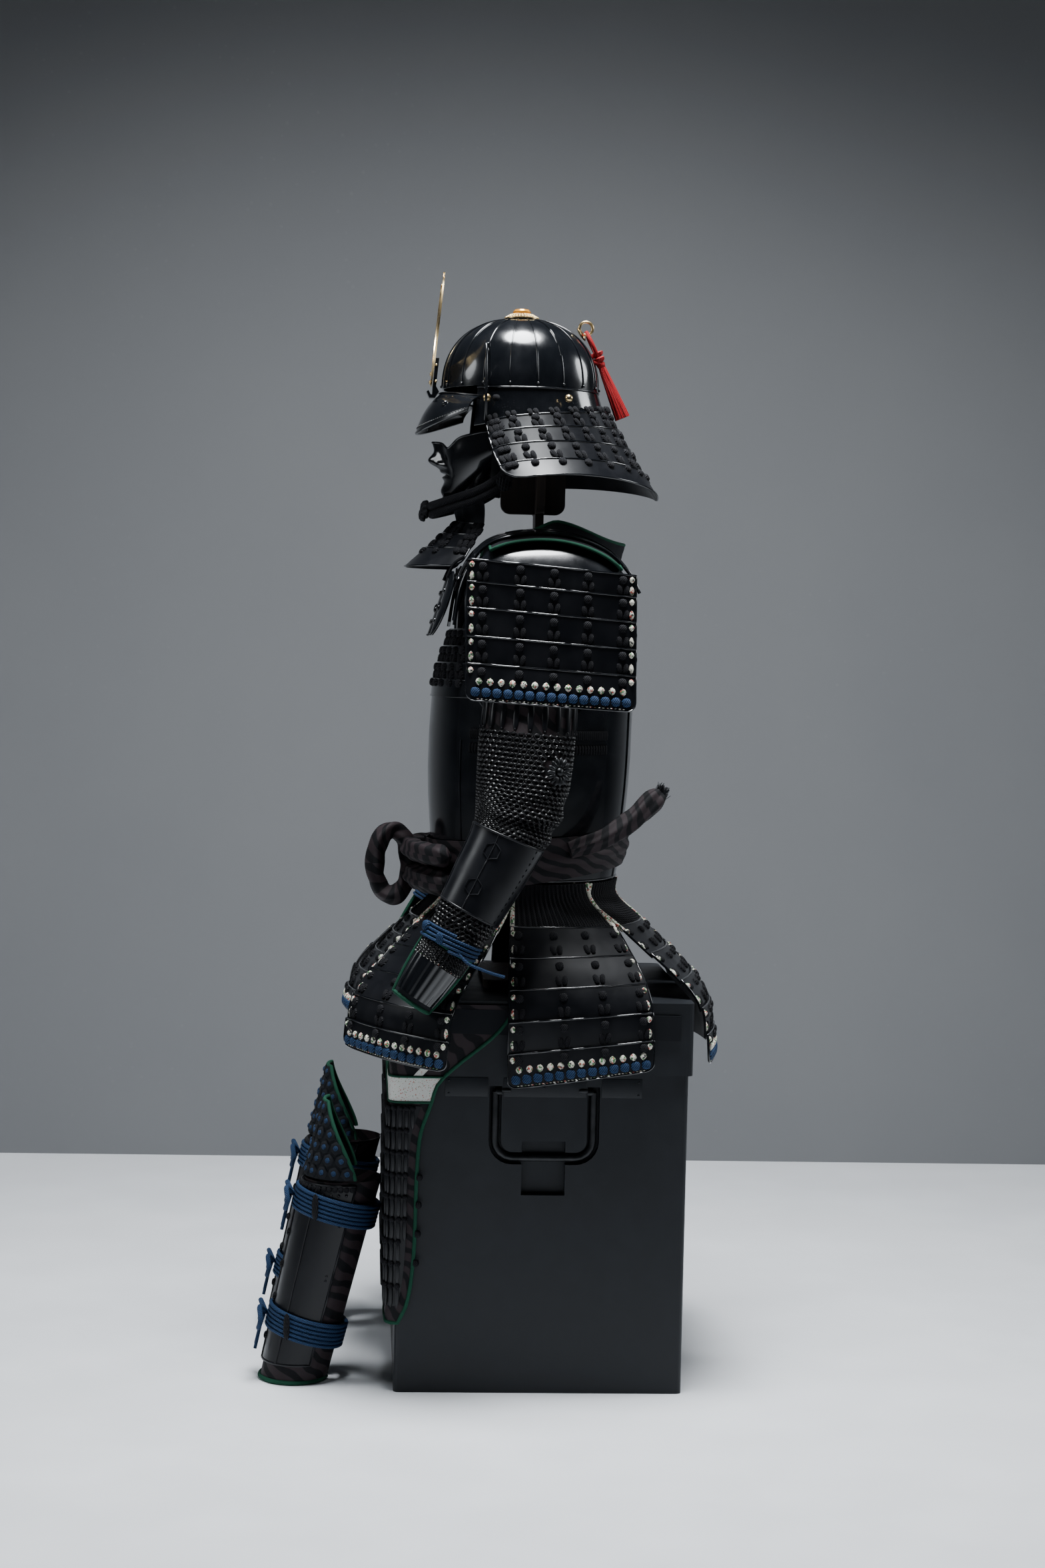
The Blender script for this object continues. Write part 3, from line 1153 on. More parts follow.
def makeLeaves():
    plate = gridMesh(steps(16), steps(24), onLeaf, (54, 92), 2.2)
    path = outline(onLeaf, 20, 4)
    boss = strewn(bead, [seatOn(onLeaf, 0.5, v, (size, size, 6))
                         for v, size in ((0.3, 9), (0.55, 14), (0.78, 9))])
    addPiece("chestLeaf", joined(plate, tubeMesh(path, 1.6, 6, loop=True), boss), "blackLacquer",
             ["chest_leaf"], pair=True, hard=60)
    ties = [tubeMesh(through([onLeaf(0.5, 0.08, 2), (98, -134, 1142), (108, -120, 1152)], 10), 2.4, 6)]
    addPiece("chestLeafTie", joined(*ties), "blackCord", pair=True)


makeCuirass()
makeShoulders(shoulder)
makeCollar()
makeLeaves()
print("cuirass and shoulders made")


# Shoulder guards.

guard = {"front": -120, "back": 110, "topX": 252, "bottomX": 282, "bulge": 14, "top": (1145, 1127),
         "bottom": (954, 942), "lames": [0, 0.16, 0.345, 0.545, 0.74, 1], "step": 4,
         "columns": [0.09, 0.31, 0.51, 0.71, 0.92], "width": 230, "tall": 188}


def onGuard(u, v, out=0.0):
    g = guard
    across = 2 * u - 1
    return (
        lerp(g["topX"], g["bottomX"], v) + out - g["bulge"] * across ** 2,
        lerp(g["front"], g["back"], u),
        lerp(lerp(*g["top"], u), lerp(*g["bottom"], u), v),
    )


def bottomRows(at, start, count, blueCount, step):
    # The last lame's rows: patterned lozenges, blue squares and a row of stitches.
    share = 1 - start
    patterned = rowPlaces(at, start + 0.47 * share, step, count, (9.5, 11, 8), 0.075)
    blue = rowPlaces(at, start + 0.76 * share, step, blueCount, (13.2, 13.2, 9), 0.055)
    stitches = rowPlaces(at, start + 0.945 * share, step, 36, (3.6, 1.2, 1.6), 0.07)
    return patterned, blue, stitches


def makeGuards(g):
    panel = panelMeshes(onGuard, g["lames"], g["step"], g["width"], g["tall"], corner=12, columns=26)
    addPanel("shoulderGuard", panel, ["shoulder_guard"], pair=True)
    patterned, blue, stitches = bottomRows(onGuard, g["lames"][-2], 14, 15, g["step"])
    black = lacingPlaces(onGuard, g["lames"], g["columns"], g["step"], g["width"])
    addPiece("shoulderGuardLacing", strewn(knot, black), "blackCord", pair=True)
    edging = edgePlaces(onGuard, g["lames"], g["step"], g["width"])
    addPiece("shoulderGuardEdging", strewn(lozenge, edging + patterned + stitches), "patternedCord",
             pair=True)
    addPiece("shoulderGuardBlue", strewn(knot, blue), "blueCord", pair=True)


makeGuards(guard)


# Arms: sleeve, mail, splints, forearm plate, hand guard and wrist cord.

armRows = [
    (0, 204, -15, 1126, 32, 54), (1, 216, -22, 1050, 35, 58), (2, 232, -30, 960, 38, 62),
    (3, 250, -36, 880, 43, 63), (4, 261, -44, 815, 44, 58), (5, 266, -60, 765, 42, 48),
    (6, 276, -88, 710, 39, 44), (7, 288, -120, 650, 33, 39),
]


def onArm(share, degrees, out=0.0):  # degrees run from the outer side round to the front
    key = share * 7
    middle = [readTable(armRows, key, column) for column in (1, 2, 3)]
    run = [readTable(armRows, min(key + 0.05, 7), column) - readTable(armRows, max(key - 0.05, 0), column)
           for column in (2, 3)]
    long = hypot(*run)
    halfX, halfN = (readTable(armRows, key, column) + out for column in (4, 5))
    angle = radians(degrees)
    return (
        middle[0] + halfX * cos(angle),
        middle[1] + run[1] / long * halfN * sin(angle),
        middle[2] - run[0] / long * halfN * sin(angle),
    )


def sleeveFold(u, v):  # folds at the elbow and at the shoulder
    elbow = 3.2 * sin(v * 75 + 1.4 * sin(2 * pi * u)) * bell(v - 0.62, 0.09)
    elbow *= 0.5 + 0.5 * cos(2 * pi * (u - 0.3))
    return elbow + 1.2 * sin(v * 40 + 5 * u) * bell(v - 0.2, 0.2)


def onSleeve(u, v, out=0.0):  # u runs round from the outer side by way of the back
    return onArm(v, 360 * (1 - u), out + sleeveFold(u, v) * (1 - smooth(0.66, 0.72, v)))


sleeve = {"long": 505, "round": 300, "splintRow": 0.33, "splints": 20, "splintSize": (9, 46, 3.4),
          "rivetRows": (0.295, 0.365), "mailTop": 0.378, "mailFoot": 0.70, "mailRows": 25, "mailRings": 37,
          "gap": (0.12, 0.455, 19), "flower": (0.12, 0.462), "petalSize": (6.8, 15, 6), "petalReach": 13,
          "lift": 5}


def makeSleeves(s):
    size = (s["round"], s["long"])
    cloth = gridMesh(steps(56), steps(96), lambda u, v: onSleeve(u, v, -0.6), size, 2.2, closed=True)
    for made in addPiece("sleeve", cloth, "stripedCloth", ["sleeve"], pair=True):
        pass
    spots = around(s["splints"])
    splints = [seatOn(onSleeve, u, s["splintRow"], s["splintSize"], lift=1.2) for u in spots]
    rivets = [seatOn(onSleeve, u, v, (2.8, 2.8, 2.4), lift=2.8) for u in spots for v in s["rivetRows"]]
    addPiece("sleeveSplints", joined(strewn(bead, splints), strewn(bead, rivets)), "satinLacquer",
             pair=True)
    gapU, gapV, gapReach = s["gap"]
    rings = []
    for i in range(s["mailRows"]):
        v = lerp(s["mailTop"], s["mailFoot"], i / (s["mailRows"] - 1))
        for j in range(s["mailRings"]):
            u = (j + 0.5 * (i % 2)) / s["mailRings"]
            if hypot(((u + 0.5) % 1 - 0.5 - gapU) * size[0], (v - gapV) * size[1]) > gapReach:
                rings.append(seatOn(onSleeve, u, v, (1.12, 1.0, 1), random.uniform(-12, 12), lift=1.3))
    addPiece("sleeveMail", strewn(wireRing, rings), "mailIron", pair=True)
    places = []
    for turn in range(0, 360, 24):
        shift = (-s["petalReach"] * sin(radians(turn)), s["petalReach"] * cos(radians(turn)))
        places.append(seatOn(onSleeve, *s["flower"], s["petalSize"], turn, shift, s["lift"]))
    for wide, deep in ((13, 11), (5, 15)):
        places.append(seatOn(onSleeve, *s["flower"], (wide, wide, deep), lift=s["lift"]))
    addPiece("sleeveFlower", strewn(bead, places), "iron", pair=True)


def onForearm(u, v, out=0.0):
    return onArm(lerp(0.7, 0.955, v), lerp(90, -90, u), 2.7 + out)


def hexagonOn(place, u, v, reach, out):
    centre = seatOn(place, u, v, lift=out)
    corners = [centre @ Vector((reach * cos(radians(a)), reach * sin(radians(a)), 0)) / mm
               for a in range(30, 390, 60)]
    return [a.lerp(b, s) for a, b in zip(corners, corners[1:] + corners[:1]) for s in (0, 0.33, 0.67)]


def makeForearms():
    shell = gridMesh(steps(36), steps(28), onForearm, (130, 128), 2.2)
    path = outline(onForearm, 16, 24)
    seam = tubeMesh([onForearm(0.4, v, 0.3) for v in steps(20)], 0.9, 6)
    rings = [tubeMesh(hexagonOn(onForearm, u, v, 12, 0.3), 0.8, 5, loop=True)
             for u, v in ((0.4, 0.25), (0.4, 0.72))]
    addPiece("forearmPlate", joined(shell, tubeMesh(path, 1.5, 6, loop=True), seam, *rings), "satinLacquer",
             ["forearm_plate"], pair=True, hard=60)
    stitches = [seatOn(onForearm, u, v, (1.6, 4.6, 2)) for u in (0.4, 0.8) for v in steps(12, 0.04, 0.96)]
    addPiece("forearmStitches", strewn(bead, stitches), "blackCord", pair=True)


hand = {"root": (-138, 622), "tip": (-186, 548), "middleX": 297, "halfX": 29, "halfWidth": 38, "spread": 76}


def onHand(u, v, out=0.0):
    h = hand
    run = Vector((h["tip"][0] - h["root"][0], h["tip"][1] - h["root"][1])).normalized()
    angle = radians(lerp(h["spread"], -h["spread"], u))
    halfX = h["halfX"] * lerp(1, 0.82, v) + out
    halfN = h["halfWidth"] * lerp(1, 0.78, v * v) + out
    return (
        h["middleX"] + halfX * cos(angle),
        lerp(h["root"][0], h["tip"][0], v) + run.y * halfN * sin(angle),
        lerp(h["root"][1], h["tip"][1], v) - run.x * halfN * sin(angle),
    )


def makeHands():
    cloth = gridMesh(steps(30), steps(20), lambda u, v: onHand(u, v, -0.4), (95, 88), 2.2)
    for made in addPiece("handGuardCloth", cloth, "underCloth", ["hand_guard"], pair=True):
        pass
    flutes = gridMesh(steps(40, 0.14, 0.86), steps(12, 0.3, 0.9),
                      lambda u, v: onHand(u, v, 2.2 + 1.1 * abs(sin(u * 30))), (66, 52), 1.6)
    addPiece("handGuardPlate", flutes, "blackLacquer", pair=True, hard=60)
    patch = [seatOn(onHand, u + 0.008 * (i % 2), v, (1.1, 1, 1), lift=1.2)
             for i, v in enumerate(steps(4, 0.08, 0.26))
             for u in steps(14, 0.1, 0.9)]
    addPiece("handGuardMail", strewn(wireRing, patch), "mailIron", pair=True)
    path = outline(onHand, 12, 16, -1)
    addPiece("handGuardBinding", tubeMesh(path, 3.0, 8, loop=True), "greenBinding", pair=True)
    zigzag = [onHand(lerp(0.1, 0.9, i / 24), 0.285 + (0.02 if i % 2 else -0.02), 1.2) for i in range(25)]
    addPiece("handGuardZigzag", tubeMesh(zigzag, 0.9, 5), "patternedCord", pair=True)


wrist = {"top": (288, -120, 650), "foot": (297, -140, 619), "halfX": 31, "halfN": 37, "turns": 4,
         "cord": 2.1}


def onWrist(u, v, out=0.0):  # the cuff between the forearm plate and the hand guard
    angle = radians(360 * (1 - u))
    x, y, z = Vector(wrist["top"]).lerp(Vector(wrist["foot"]), v)
    halfX, halfN = wrist["halfX"] + out, wrist["halfN"] + out
    return (x + halfX * cos(angle), y - 0.84 * halfN * sin(angle), z + 0.54 * halfN * sin(angle))


def makeWristCords():
    cuff = gridMesh(steps(40), steps(8), lambda u, v: onWrist(u, v, -1.5), (214, 37), 2.0, closed=True)
    for made in addPiece("cuffCloth", cuff, "stripedCloth", pair=True):
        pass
    rings = [seatOn(onWrist, u + 0.5 * (i % 2) / 28, v, lift=1.0)
             for i, v in enumerate(steps(4, 0.02, 0.62))
             for u in around(28)]
    rings += [seatOn(onSleeve, u + 0.5 * (i % 2) / 30, v, lift=1.2)
              for i, v in enumerate((0.962, 0.975, 0.988))
              for u in around(30)]
    addPiece("cuffMail", strewn(wireRing, rings), "mailIron", pair=True)
    turns = wrist["turns"]
    wound = [onWrist(-turns * s, 0.36 + 0.6 * s + 0.14 * sin(2 * pi * turns * s), 3.2) for s in steps(130)]
    knots = [seat(onWrist(0.8, 0.66, 6), (0.6, -0.8, 0.2), size=(13, 15, 11)),
             seat(onWrist(0.93, 0.75, 6), (1, -0.2, 0), size=(10, 17, 9))]
    addPiece("wristCord", joined(tubeMesh(wound, wrist["cord"], 8), strewn(knot, knots)), "blueCord",
             ["wrist_cord"], pair=True)
    route = [(326, -128, 620), (330, -112, 604), (329, -94, 596), (324, -78, 590), (318, -62, 585)]
    addCordEnds("wristCordTail", through(route, 24), 2)


makeSleeves(sleeve)
makeForearms()
makeHands()
makeWristCords()
print("arms made")


# Sash.

sash = {"low": (676, 719), "high": (750, 771), "rolls": [(735, 15.6, 5), (696, 17, 6)], "rollSpread": 46,
        "loopMiddle": (-212, 711), "loopReach": (25, 47), "loopRadius": 14, "tailRadius": (12.5, 16),
        "tail": [(174, 32, 747), (166, 82, 764), (144, 124, 790), (126, 162, 824)],
        "tailRows": 24, "threads": 90}


def sashEdges(bearing):
    backness = (1 - cos(radians(bearing))) / 2
    return lerp(*sash["low"], backness), lerp(*sash["high"], backness)


def onSash(u, v, out=0.0):
    bearing = 360 * u
    low, high = sashEdges(bearing)
    pleat = 2.6 * abs(sin(v * 3.2 * pi + 0.8 * sin(4 * pi * u))) + 1.2 * noise.noise((6 * u, 3 * v, 1))
    return onTorso(bearing, lerp(high, low, v), 7 + 2.5 * sin(pi * v) + pleat * sin(pi * v) + out)


def makeSash():
    wrap = gridMesh(steps(150), steps(18), onSash, (1000, 74), 2.4, closed=True)
    made = addPiece("sashWrap", wrap, "stripedCloth", ["sash_wrap"])[0]
    rolls = []
    for z, radius, turns in sash["rolls"]:
        def onRoll(angle, s, z=z, radius=radius, turns=turns):
            share = 2 * s - 1
            bearing = sash["rollSpread"] * share
            x, y = onTorso(bearing, z, 30)[:2]
            out = Vector((sin(radians(bearing)), -cos(radians(bearing)), 0))
            crease = 1 + 0.09 * sin(turns * angle + 5 * s) - 0.07 * abs(sin(7 * pi * s + angle)) ** 3
            end = sqrt(max(0.0, 1 - max(0.0, (abs(share) - 0.88) / 0.12) ** 2))
            reach = radius * crease * max(end, 0.05)
            outward = out * cos(angle) + Vector((0, 0, 1)) * sin(angle)
            return Vector((x, y, z - 4 * abs(share))) + reach * outward
        rolls.append(gridMesh(steps(30, 0, 2 * pi), steps(54, 1, 0), onRoll, (2 * pi * radius, 260),
                              closed=True))
    both = joined(*[capped(roll) for roll in rolls])
    addPiece("sashRolls", both, "stripedCloth", ["sash_bow"])[0]

    loopY, loopZ = sash["loopMiddle"]
    deep, tall = sash["loopReach"]

    def onLoop(angle, way):  # a fat twisted roll that stands up in front
        out = Vector((0, -cos(way), sin(way)))
        middle = Vector((7 * sin(2 * way), loopY - deep * cos(way), loopZ + tall * sin(way)))
        reach = sash["loopRadius"] * (1 + 0.1 * sin(4 * angle + 3 * way)
                                      - 0.12 * abs(sin(3.5 * way + angle)) ** 3)
        return middle + reach * (out * cos(angle) + Vector((1.25, 0, 0)) * sin(angle))

    loop = gridMesh(steps(28, 0, 2 * pi), steps(96, 2 * pi, 0), onLoop, (88, 236), closed=True)
    addPiece("sashLoop", capped(loop), "stripedCloth")[0]
    last = sash["tailRows"]
    tailLine = through(sash["tail"], last)

    def onTail(angle, row):
        before, after = tailLine[max(round(row) - 1, 0)], tailLine[min(round(row) + 1, last)]
        way = (after - before).normalized()
        side = way.cross(Vector((1, 0, 0))).normalized()
        s = row / last
        folds = 1 + 0.12 * sin(5 * angle + 5 * s) - 0.1 * abs(sin(9 * s + angle)) ** 3
        reach = lerp(*sash["tailRadius"], s) * folds
        reach *= 1 - 0.25 * bell(s - 1, 0.04)
        return tailLine[round(row)] + reach * (side.cross(way) * cos(angle) * 0.9 + side * sin(angle))

    tail = capped(gridMesh(steps(36, 0, 2 * pi), steps(last, last, 0), onTail, (90, 165), closed=True))
    addPiece("sashTail", tail, "stripedCloth", ["sash_tail"])[0]
    tufts = []
    while len(tufts) < sash["threads"]:
        angle = random.uniform(0, 2 * pi)
        root = onTail(angle, last).lerp(tailLine[-1], random.uniform(0, 0.9))
        lean = Vector((random.uniform(-3, 3), random.uniform(1, 9), random.uniform(6, 12)))
        tufts.append(tubeMesh([root, root + lean * 0.5, root + lean], 0.5, 4))
    addPiece("sashFringe", joined(*tufts), "underCloth")


makeSash()


# Skirt of seven tassets.

# How far out a panel hangs, and how much of its width it has, at each height.
hangShare = [(440, 1), (508, 0.97), (543, 0.9), (575, 0.72), (605, 0.5), (640, 0.24), (672, 0), (700, 0)]
widthShare = [(440, 1), (508, 0.98), (543, 0.95), (575, 0.85), (605, 0.68), (640, 0.44), (672, 0.1),
              (700, 0)]
skirt = {"lames": [0, 0.19, 0.38, 0.58, 0.78, 1], "top": 640, "step": 4, "half": 360 / 14 - 0.8,
         "columns": [0.07, 0.38, 0.66, 0.93]}
panels = [  # node, bearing, x, y, facing, width, sagitta, bottom, skew
    ("tasset_front", 0, 0, -277, 0, 190, 14, 505, 0),
    ("tasset_front", 51.4, 268, -215.6, 45, 196, 15, 465, -8),
    ("tasset_side", 102.8, 272, 48, 90, 200, 6, 440, 14),
    ("tasset_back", 154.2, 112, 247, 172, 192, 6, 455, 0),
]


def onTasset(panel):
    bearing, x, y, facing, width, sagitta, bottom, skew = panel[1:]
    face = Vector((sin(radians(facing)), -cos(radians(facing))))
    side = Vector((-face.y, face.x))

    def atHeight(u, z, out):
        across = 2 * u - 1
        hem = Vector(onTorso(bearing + skirt["half"] * across, 700, -0.5)[:2])
        foot = Vector((x, y)) + side * across * width / 2 - face * sagitta * across ** 2
        point = hem.lerp(foot, readTable(hangShare, z)) + face * out
        point += side * ((foot - hem).dot(side) * (readTable(widthShare, z) - readTable(hangShare, z)))
        return (point.x, point.y, z)

    def at(u, v, out):
        return atHeight(u, lerp(skirt["top"], bottom + skew * (2 * u - 1), v), out + skirt["step"] / 2)

    return at, atHeight


def makeTasset(panel, k):
    node, width, bottom, pair = panel[0], panel[5], panel[7], k > 0
    at, atHeight = onTasset(panel)
    name = ("tassetFront", "tassetFrontSide", "tassetSide", "tassetBack")[k]
    tall = (skirt["top"] - bottom) * 1.25
    bounds = skirt["lames"]
    lames = panelMeshes(at, bounds, skirt["step"], width, tall, corner=13, columns=24)
    addPanel(name, lames, [node], pair=pair)
    patterned, blue, stitches = bottomRows(at, bounds[-2], 13, 13, skirt["step"])
    black = lacingPlaces(at, bounds, skirt["columns"], skirt["step"], width)
    addPiece(name + "Lacing", strewn(knot, black), "blackCord", pair=pair)
    edging = edgePlaces(at, bounds, skirt["step"], width) + patterned + stitches
    addPiece(name + "Edging", strewn(lozenge, edging), "patternedCord", pair=pair)
    addPiece(name + "Blue", strewn(knot, blue), "blueCord", pair=pair)
    heights = steps(9, 697, 640)
    cords = [tubeMesh([atHeight(u, z, 0.2 + 1.4 * (i % 2)) for z in heights], 2.1, 6)
             for i, u in enumerate(steps(34, 0.06, 0.94))]
    addPiece(name + "Curtain", joined(*cords), "blackCord", pair=pair)
    sides = [tubeMesh([atHeight(u, z, 1.0) for z in steps(9, 697, 634)], 3.4, 8) for u in (0.02, 0.98)]
    addPiece(name + "SideCords", joined(*sides), "patternedCord", pair=pair)


for k, panel in enumerate(panels):
    makeTasset(panel, k)
print("sash and skirt made")


# Thigh guards, hung on the lid's edge.

apronEdge = [(96, -196), (125, -183), (187, -175), (350, -170), (401, -155), (434, -142), (500, -66),
             (538, -40)]


apron = {"frontRun": 230.6, "frontY": -212, "corner": 18, "longest": 409, "top": 538, "foot": 96,
         "splintTop": 398, "splintFoot": 122, "splintRows": 9, "splintPitch": 8.2}


def onLid(distance, z, out=0.0):  # distance runs from the middle of the front round the lid's corner
    run, corner = apron["frontRun"], apron["corner"]
    cornerY, arc = apron["frontY"] + corner, pi / 2 * corner
    if distance <= run:
        return (distance, apron["frontY"] - out, z)
    if distance <= run + arc:
        angle = (distance - run) / corner
        return (run + (corner + out) * sin(angle), cornerY - (corner + out) * cos(angle), z)
    return (run + corner + out, cornerY + min(distance - run - arc, apron["longest"]), z)


def edgeDistance(z):
    corner = apron["corner"]
    return apron["frontRun"] + pi / 2 * corner + readTable(apronEdge, z) - apron["frontY"] - corner


def makeAprons(a):
    def onApron(u, z, out=0.0):
        distance = lerp(8, edgeDistance(z), u)
        hang = 1.6 * sin(distance * 0.045) * smooth(480, 120, z)
        return onLid(distance, z, out + hang * 0.5)

    cloth = gridMesh(steps(60), steps(44, a["top"], a["foot"]), onApron, (400, 442), 2.2)
    for made in addPiece("thighApron", cloth, "stripedCloth", ["thigh_apron"], pair=True):
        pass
    belt = gridMesh(steps(30), steps(4, 534, 500), lambda u, z: onLid(lerp(256, 638, u), z - 8 * u, 0.3),
                    (381, 34), 1.8)
    for made in addPiece("thighBelt", belt, "underCloth", pair=True):
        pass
    band = gridMesh(steps(50), steps(6, 437, 404), lambda u, z: onApron(u, z, 0.9), (310, 33), 1.0)
    strip = gridMesh(steps(3, 0.86, 0.9), steps(8, 470, 437), lambda u, z: onApron(u, z, 0.9), (14, 33),
                     1.0)
    for made in addPiece("thighBrocade", joined(band, strip), "brocade", pair=True):
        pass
    path = [onApron(0, z) for z in steps(30, 500, 98)] + [onApron(u, 98) for u in steps(24)][1:]
    path += [onApron(1, z) for z in steps(40, 98, 536)][1:]
    bands = [tubeMesh([onApron(u, z, 0.8) for u in steps(40)], 1.8, 6) for z in (438, 403)]
    addPiece("thighBinding", joined(tubeMesh(path, 2.6, 8), *bands), "greenBinding", pair=True)

    def onSplints(u, v, out=0.0):
        z = lerp(a["splintTop"], a["splintFoot"], v)
        return onLid(lerp(24, edgeDistance(z) - 12, u), z, 1.4 + out)

    strips, ties = [], []
    rows, height = a["splintRows"], (a["splintTop"], a["splintFoot"])
    for i in range(rows):
        middle, top = lerp(*height, (i + 0.5) / rows), lerp(*height, i / rows) - 3
        for j in range(36):
            distance = 27 + a["splintPitch"] * j
            if distance > edgeDistance(middle) - 14:
                continue
            angle = clamp((distance - a["frontRun"]) / 28.3) * pi / 2
            out = (sin(angle), -cos(angle), 0)
            strips.append(seat(onLid(distance, middle, 2.4), out, size=(6.2, 36, 5)))
            ties.append(seat(onLid(distance, top, 3.4), out, size=(8.8, 8, 8)))
    back = gridMesh(steps(50), steps(20), onSplints, (280, 276), 1.6)
    addPiece("thighSplints", joined(back, strewn(bead, strips)), "satinLacquer", ["thigh_splints"],
             pair=True)
    addPiece("thighTies", strewn(bead, ties), "blackCord", pair=True)
    places = [seat(onLid(edgeDistance(z) + 4, z, 2), (1, 0, 0), size=(9, 11, 8))
              for z in (300, 262, 222, 182)]
    addPiece("thighEdgeKnots", strewn(knot, places), "blackCord", pair=True)


makeAprons(apron)


# Shin guards.

shin = {"middleX": 160, "middleY": (-338, -273), "halfX": (50, 57), "halfY": (47, 54), "tall": 284,
        "flapTop": 392, "flapSpread": (104, 26), "padRows": 6, "pad": 19, "strands": 6, "strandPitch": 5.7}


def onShin(share, bearing, out=0.0):
    angle = radians(bearing)
    return (
        shin["middleX"] + (lerp(*shin["halfX"], share) + out) * sin(angle),
        lerp(*shin["middleY"], share) - (lerp(*shin["halfY"], share) + out) * cos(angle),
        share * shin["tall"],
    )


hexPad = pillowShape("hexPadShape", 6, 6, 0.9, 0.3)


def makeShins():
    def onCloth(u, v, out=0.0):
        return onShin(1 - v, lerp(-170, 170, u), out + 0.8 * sin(u * 60) * bell(v - 0.5, 0.5))

    cloth = gridMesh(steps(72), steps(24), onCloth, (309, 291), 2.2)
    for made in addPiece("shinCloth", cloth, "stripedCloth", ["shin_cloth"], pair=True):
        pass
    hem = [onCloth(u, 1, -0.5) for u in steps(60)]
    hem = [(x, y, z + 3.5) for x, y, z in hem]
    addPiece("shinHemBinding", tubeMesh(hem, 3.3, 8), "greenBinding", pair=True)

    def onPlate(u, v, out=0.0):
        return onShin(lerp(0.985, 0.1, v), lerp(-110, 110, u), 2.7 + out)

    shell = gridMesh(steps(56), steps(24), onPlate, (215, 252), 2.2)
    path = outline(onPlate, 20, 40)
    seams = [tubeMesh([onPlate(u, v, 0.5) for v in steps(24)], 1.3, 6) for u in (0.488, 0.512, 0.26, 0.74)]
    studs = [seatOn(onPlate, u, v, (4, 4, 3)) for u in (0.045, 0.955)
             for v in (0.2, 0.225, 0.5, 0.525, 0.8, 0.825)]
    studs += [seatOn(onPlate, u, 0.05, (5, 5, 4)) for u in steps(18, 0.05, 0.95)]
    addPiece("shinPlate", joined(shell, tubeMesh(path, 1.7, 6, loop=True), *seams, strewn(bead, studs)),
             "satinLacquer", ["shin_plate"], pair=True, hard=60)
    ties = [seatOn(onPlate, 0.5, v, (12, 12, 9)) for v in (0.12, 0.3, 0.48, 0.66, 0.88)]
    ties += [seatOn(onPlate, u, 0.018, (7.5, 9, 7)) for u in steps(26, 0.02, 0.98)]
    addPiece("shinPlateTies", strewn(knot, ties), "blackCord", pair=True)

    def onFlap(u, v, out=0.0):
        high = 1 - v
        turn = lerp(*shin["flapSpread"], high ** 1.15)
        x, y = onShin(1, lerp(-turn, turn, u), 4.2 + out)[:2]
        return (x, y + 26 * high + 3, lerp(288, shin["flapTop"], high))

    flap = gridMesh(steps(44), steps(24), onFlap, (222, 107), 2.2)
    for made in addPiece("kneeFlap", flap, "underCloth", ["knee_flap"], pair=True):
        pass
    pads, stitches = [], []
    for i in range(shin["padRows"]):
        high = (i + 0.55) / shin["padRows"]
        wide = lerp(*shin["flapSpread"], high ** 1.15) * 2 / 360 * 2 * pi * 61
        count = max(2, int(wide / shin["pad"]))
        for j in range(count):
            u = (j + 0.5) / count
            pads.append(seatOn(onFlap, u, 1 - high, (shin["pad"], shin["pad"], 5), 30))
            stitches.append(seatOn(onFlap, u, 1 - high, (7.5, 7.5, 5), 12, lift=2))
    addPiece("kneeFlapQuilt", strewn(hexPad, pads), "underCloth", pair=True)
    addPiece("kneeFlapStitches", strewn(knot, stitches), "blueCord", pair=True)
    edge = outline(onFlap, 20, 12, -1, foot=False)
    addPiece("kneeFlapBinding", tubeMesh(edge, 2.6, 8), "greenBinding", pair=True)


def makeShinCord(name, node, middle):
    def onBand(bearing, strand, out=6.8):
        share = middle + 0.05 * cos(radians(bearing)) + (strand - 2.5) * shin["strandPitch"] / shin["tall"]
        return onShin(share, bearing, out)

    strands = [tubeMesh([onBand(bearing, strand) for bearing in range(0, 360, 6)], 2.8, 8, loop=True)
               for strand in range(shin["strands"])]
    centre = Vector(onBand(0, 2.5, 11))
    loops = []
    for side in (-1, 1):
        route = [centre, centre + Vector((side * 20, -8, 12)), centre + Vector((side * 36, -6, -2)),
                 centre + Vector((side * 26, -9, -16)), centre + Vector((side * 4, -4, -3))]
        loops.append(tubeMesh(through(route, 26), 3.6, 8))
    ties = strewn(knot, [seat(centre + Vector((0, -4, 0)), (0, -1, 0), size=(15, 17, 13))])
    addPiece(name, joined(*strands, *loops, ties), "blueCord", [node], pair=True)
    keeper = strewn(knot, [seat(onBand(62, 2.5, 10.5), (1, -0.5, 0), size=(10, 38, 6))])
    addPiece(name + "Keeper", keeper, "blackCord", pair=True)
    for label, lean in (("Outer", 1), ("Inner", -1)):
        route = [centre + Vector((lean * 4, -5, -6)), centre + Vector((lean * 10, -8, -20)),
                 centre + Vector((lean * 14, -11, -34)), centre + Vector((lean * 15, -14, -48))]
        addCordEnds(name + label + "End", through(route, 20), 2.4)


makeShins()
makeShinCord("shinCordUpper", "shin_cord_upper", 0.86)
makeShinCord("shinCordLower", "shin_cord_lower", 0.27)
print("thigh and shin guards made")


# Storage box and stand.

box = {"plateX": 240.3, "plateZ": 424, "plateTall": 26, "plates": [(-106.5, 59), (1, 114), (107, 56)],
       "bailX": 233.5, "bailY": 1, "pinZ": 417, "bailHalf": 67.5, "bailCorner": 24, "bailFoot": 326,
       "bar": 5.2}


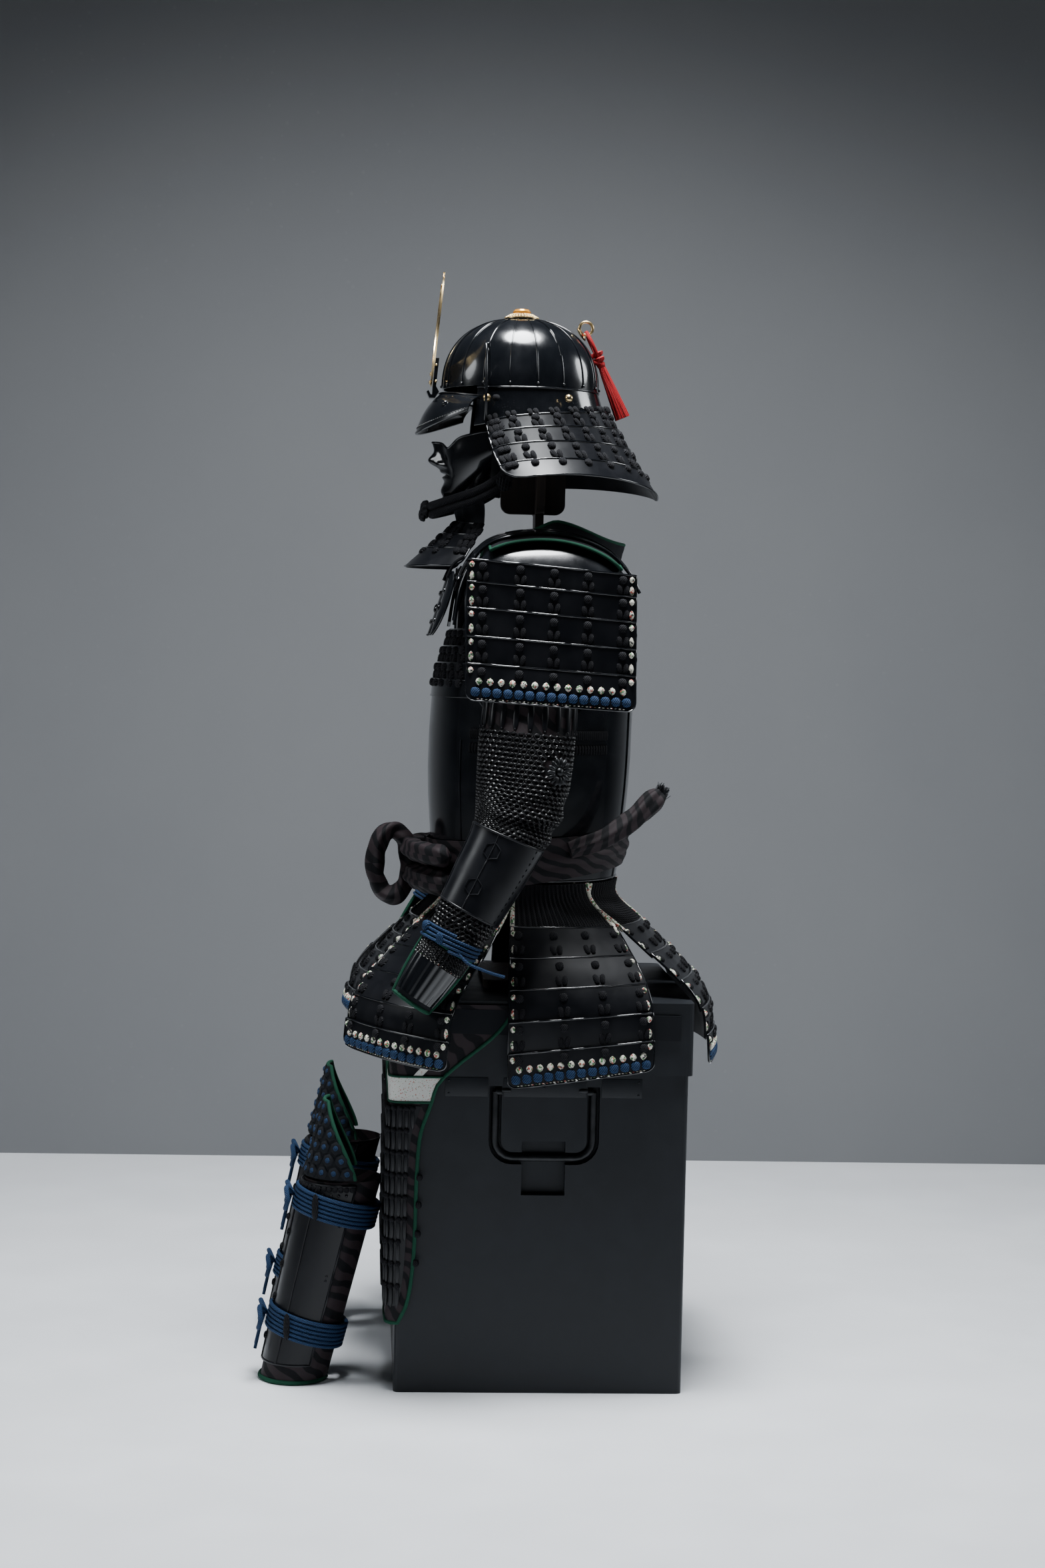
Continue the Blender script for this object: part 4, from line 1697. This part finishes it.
def makeBox(b):
    for node, finish, soft in (("box_body", "boxLacquer", 1.2), ("box_lid", "boxLacquer", 2.5),
                               ("stand_frame", "standWood", 1.5), ("crest_holder", "blackLacquer", 0.4)):
        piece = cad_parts[node]
        piece.data.materials.clear()
        piece.data.materials.append(materials[finish])
        edge = piece.modifiers.new("softEdges", "BEVEL")
        edge.width = soft * mm
        edge.segments = 3
        edge.limit_method = "ANGLE"
        edge.angle_limit = radians(40)
    plates = []
    for middle, wide in b["plates"]:  # leaves room for the bail's arms
        plate = bmesh.new()
        bmesh.ops.create_cube(plate, size=1)
        bmesh.ops.scale(plate, vec=Vector((1.4, wide, b["plateTall"])) * mm, verts=plate.verts)
        bmesh.ops.bevel(plate, geom=plate.edges[:], offset=0.4 * mm, segments=2, profile=0.5,
                        affect="EDGES", material=-1)
        bmesh.ops.translate(plate, verts=plate.verts, vec=Vector((b["plateX"], middle, b["plateZ"])) * mm)
        plates.append(plate)
    rivets = [seat((241.0, y, z), (1, 0, 0), size=(3.2, 3.2, 2.4)) for y in (-131, 130) for z in (415, 433)]
    rivets += [seat((241.0, 0, 424), (1, 0, 0), size=(3.2, 3.2, 2.4))]
    blocks = [seat((240.5, 1 + side * 53, 420), (1, 0, 0), size=(14, 7, 6)) for side in (-1, 1)]
    addPiece("boxSidePlate", joined(*plates, strewn(bead, rivets)), "boxLacquer", pair=True)
    addPiece("boxHinge", strewn(knot, blocks), "iron", pair=True)
    half, corner, foot = b["bailHalf"], b["bailCorner"], b["bailFoot"]
    corners = [(half, b["pinZ"]), (half, 372), (half, foot + corner)]
    for degrees in (22.5, 45, 67.5, 90):
        angle = radians(degrees)
        corners.append((half - corner + corner * cos(angle), foot + corner - corner * sin(angle)))
    corners += [(20, foot), (0, foot)]
    path = [(b["bailX"], b["bailY"] - y, z) for y, z in corners]
    path += [(b["bailX"], b["bailY"] + y, z) for y, z in reversed(corners[:-1])]
    pins = [[(b["bailX"], b["bailY"] + side * reach, b["pinZ"]) for reach in (half, 52)]
            for side in (-1, 1)]
    bars = [tubeMesh(line, b["bar"], 14) for line in (path, *pins)]
    addPiece("boxBail", joined(*bars), "iron", ["box_handle"], pair=True, body="handle")


makeBox(box)
print("box made")
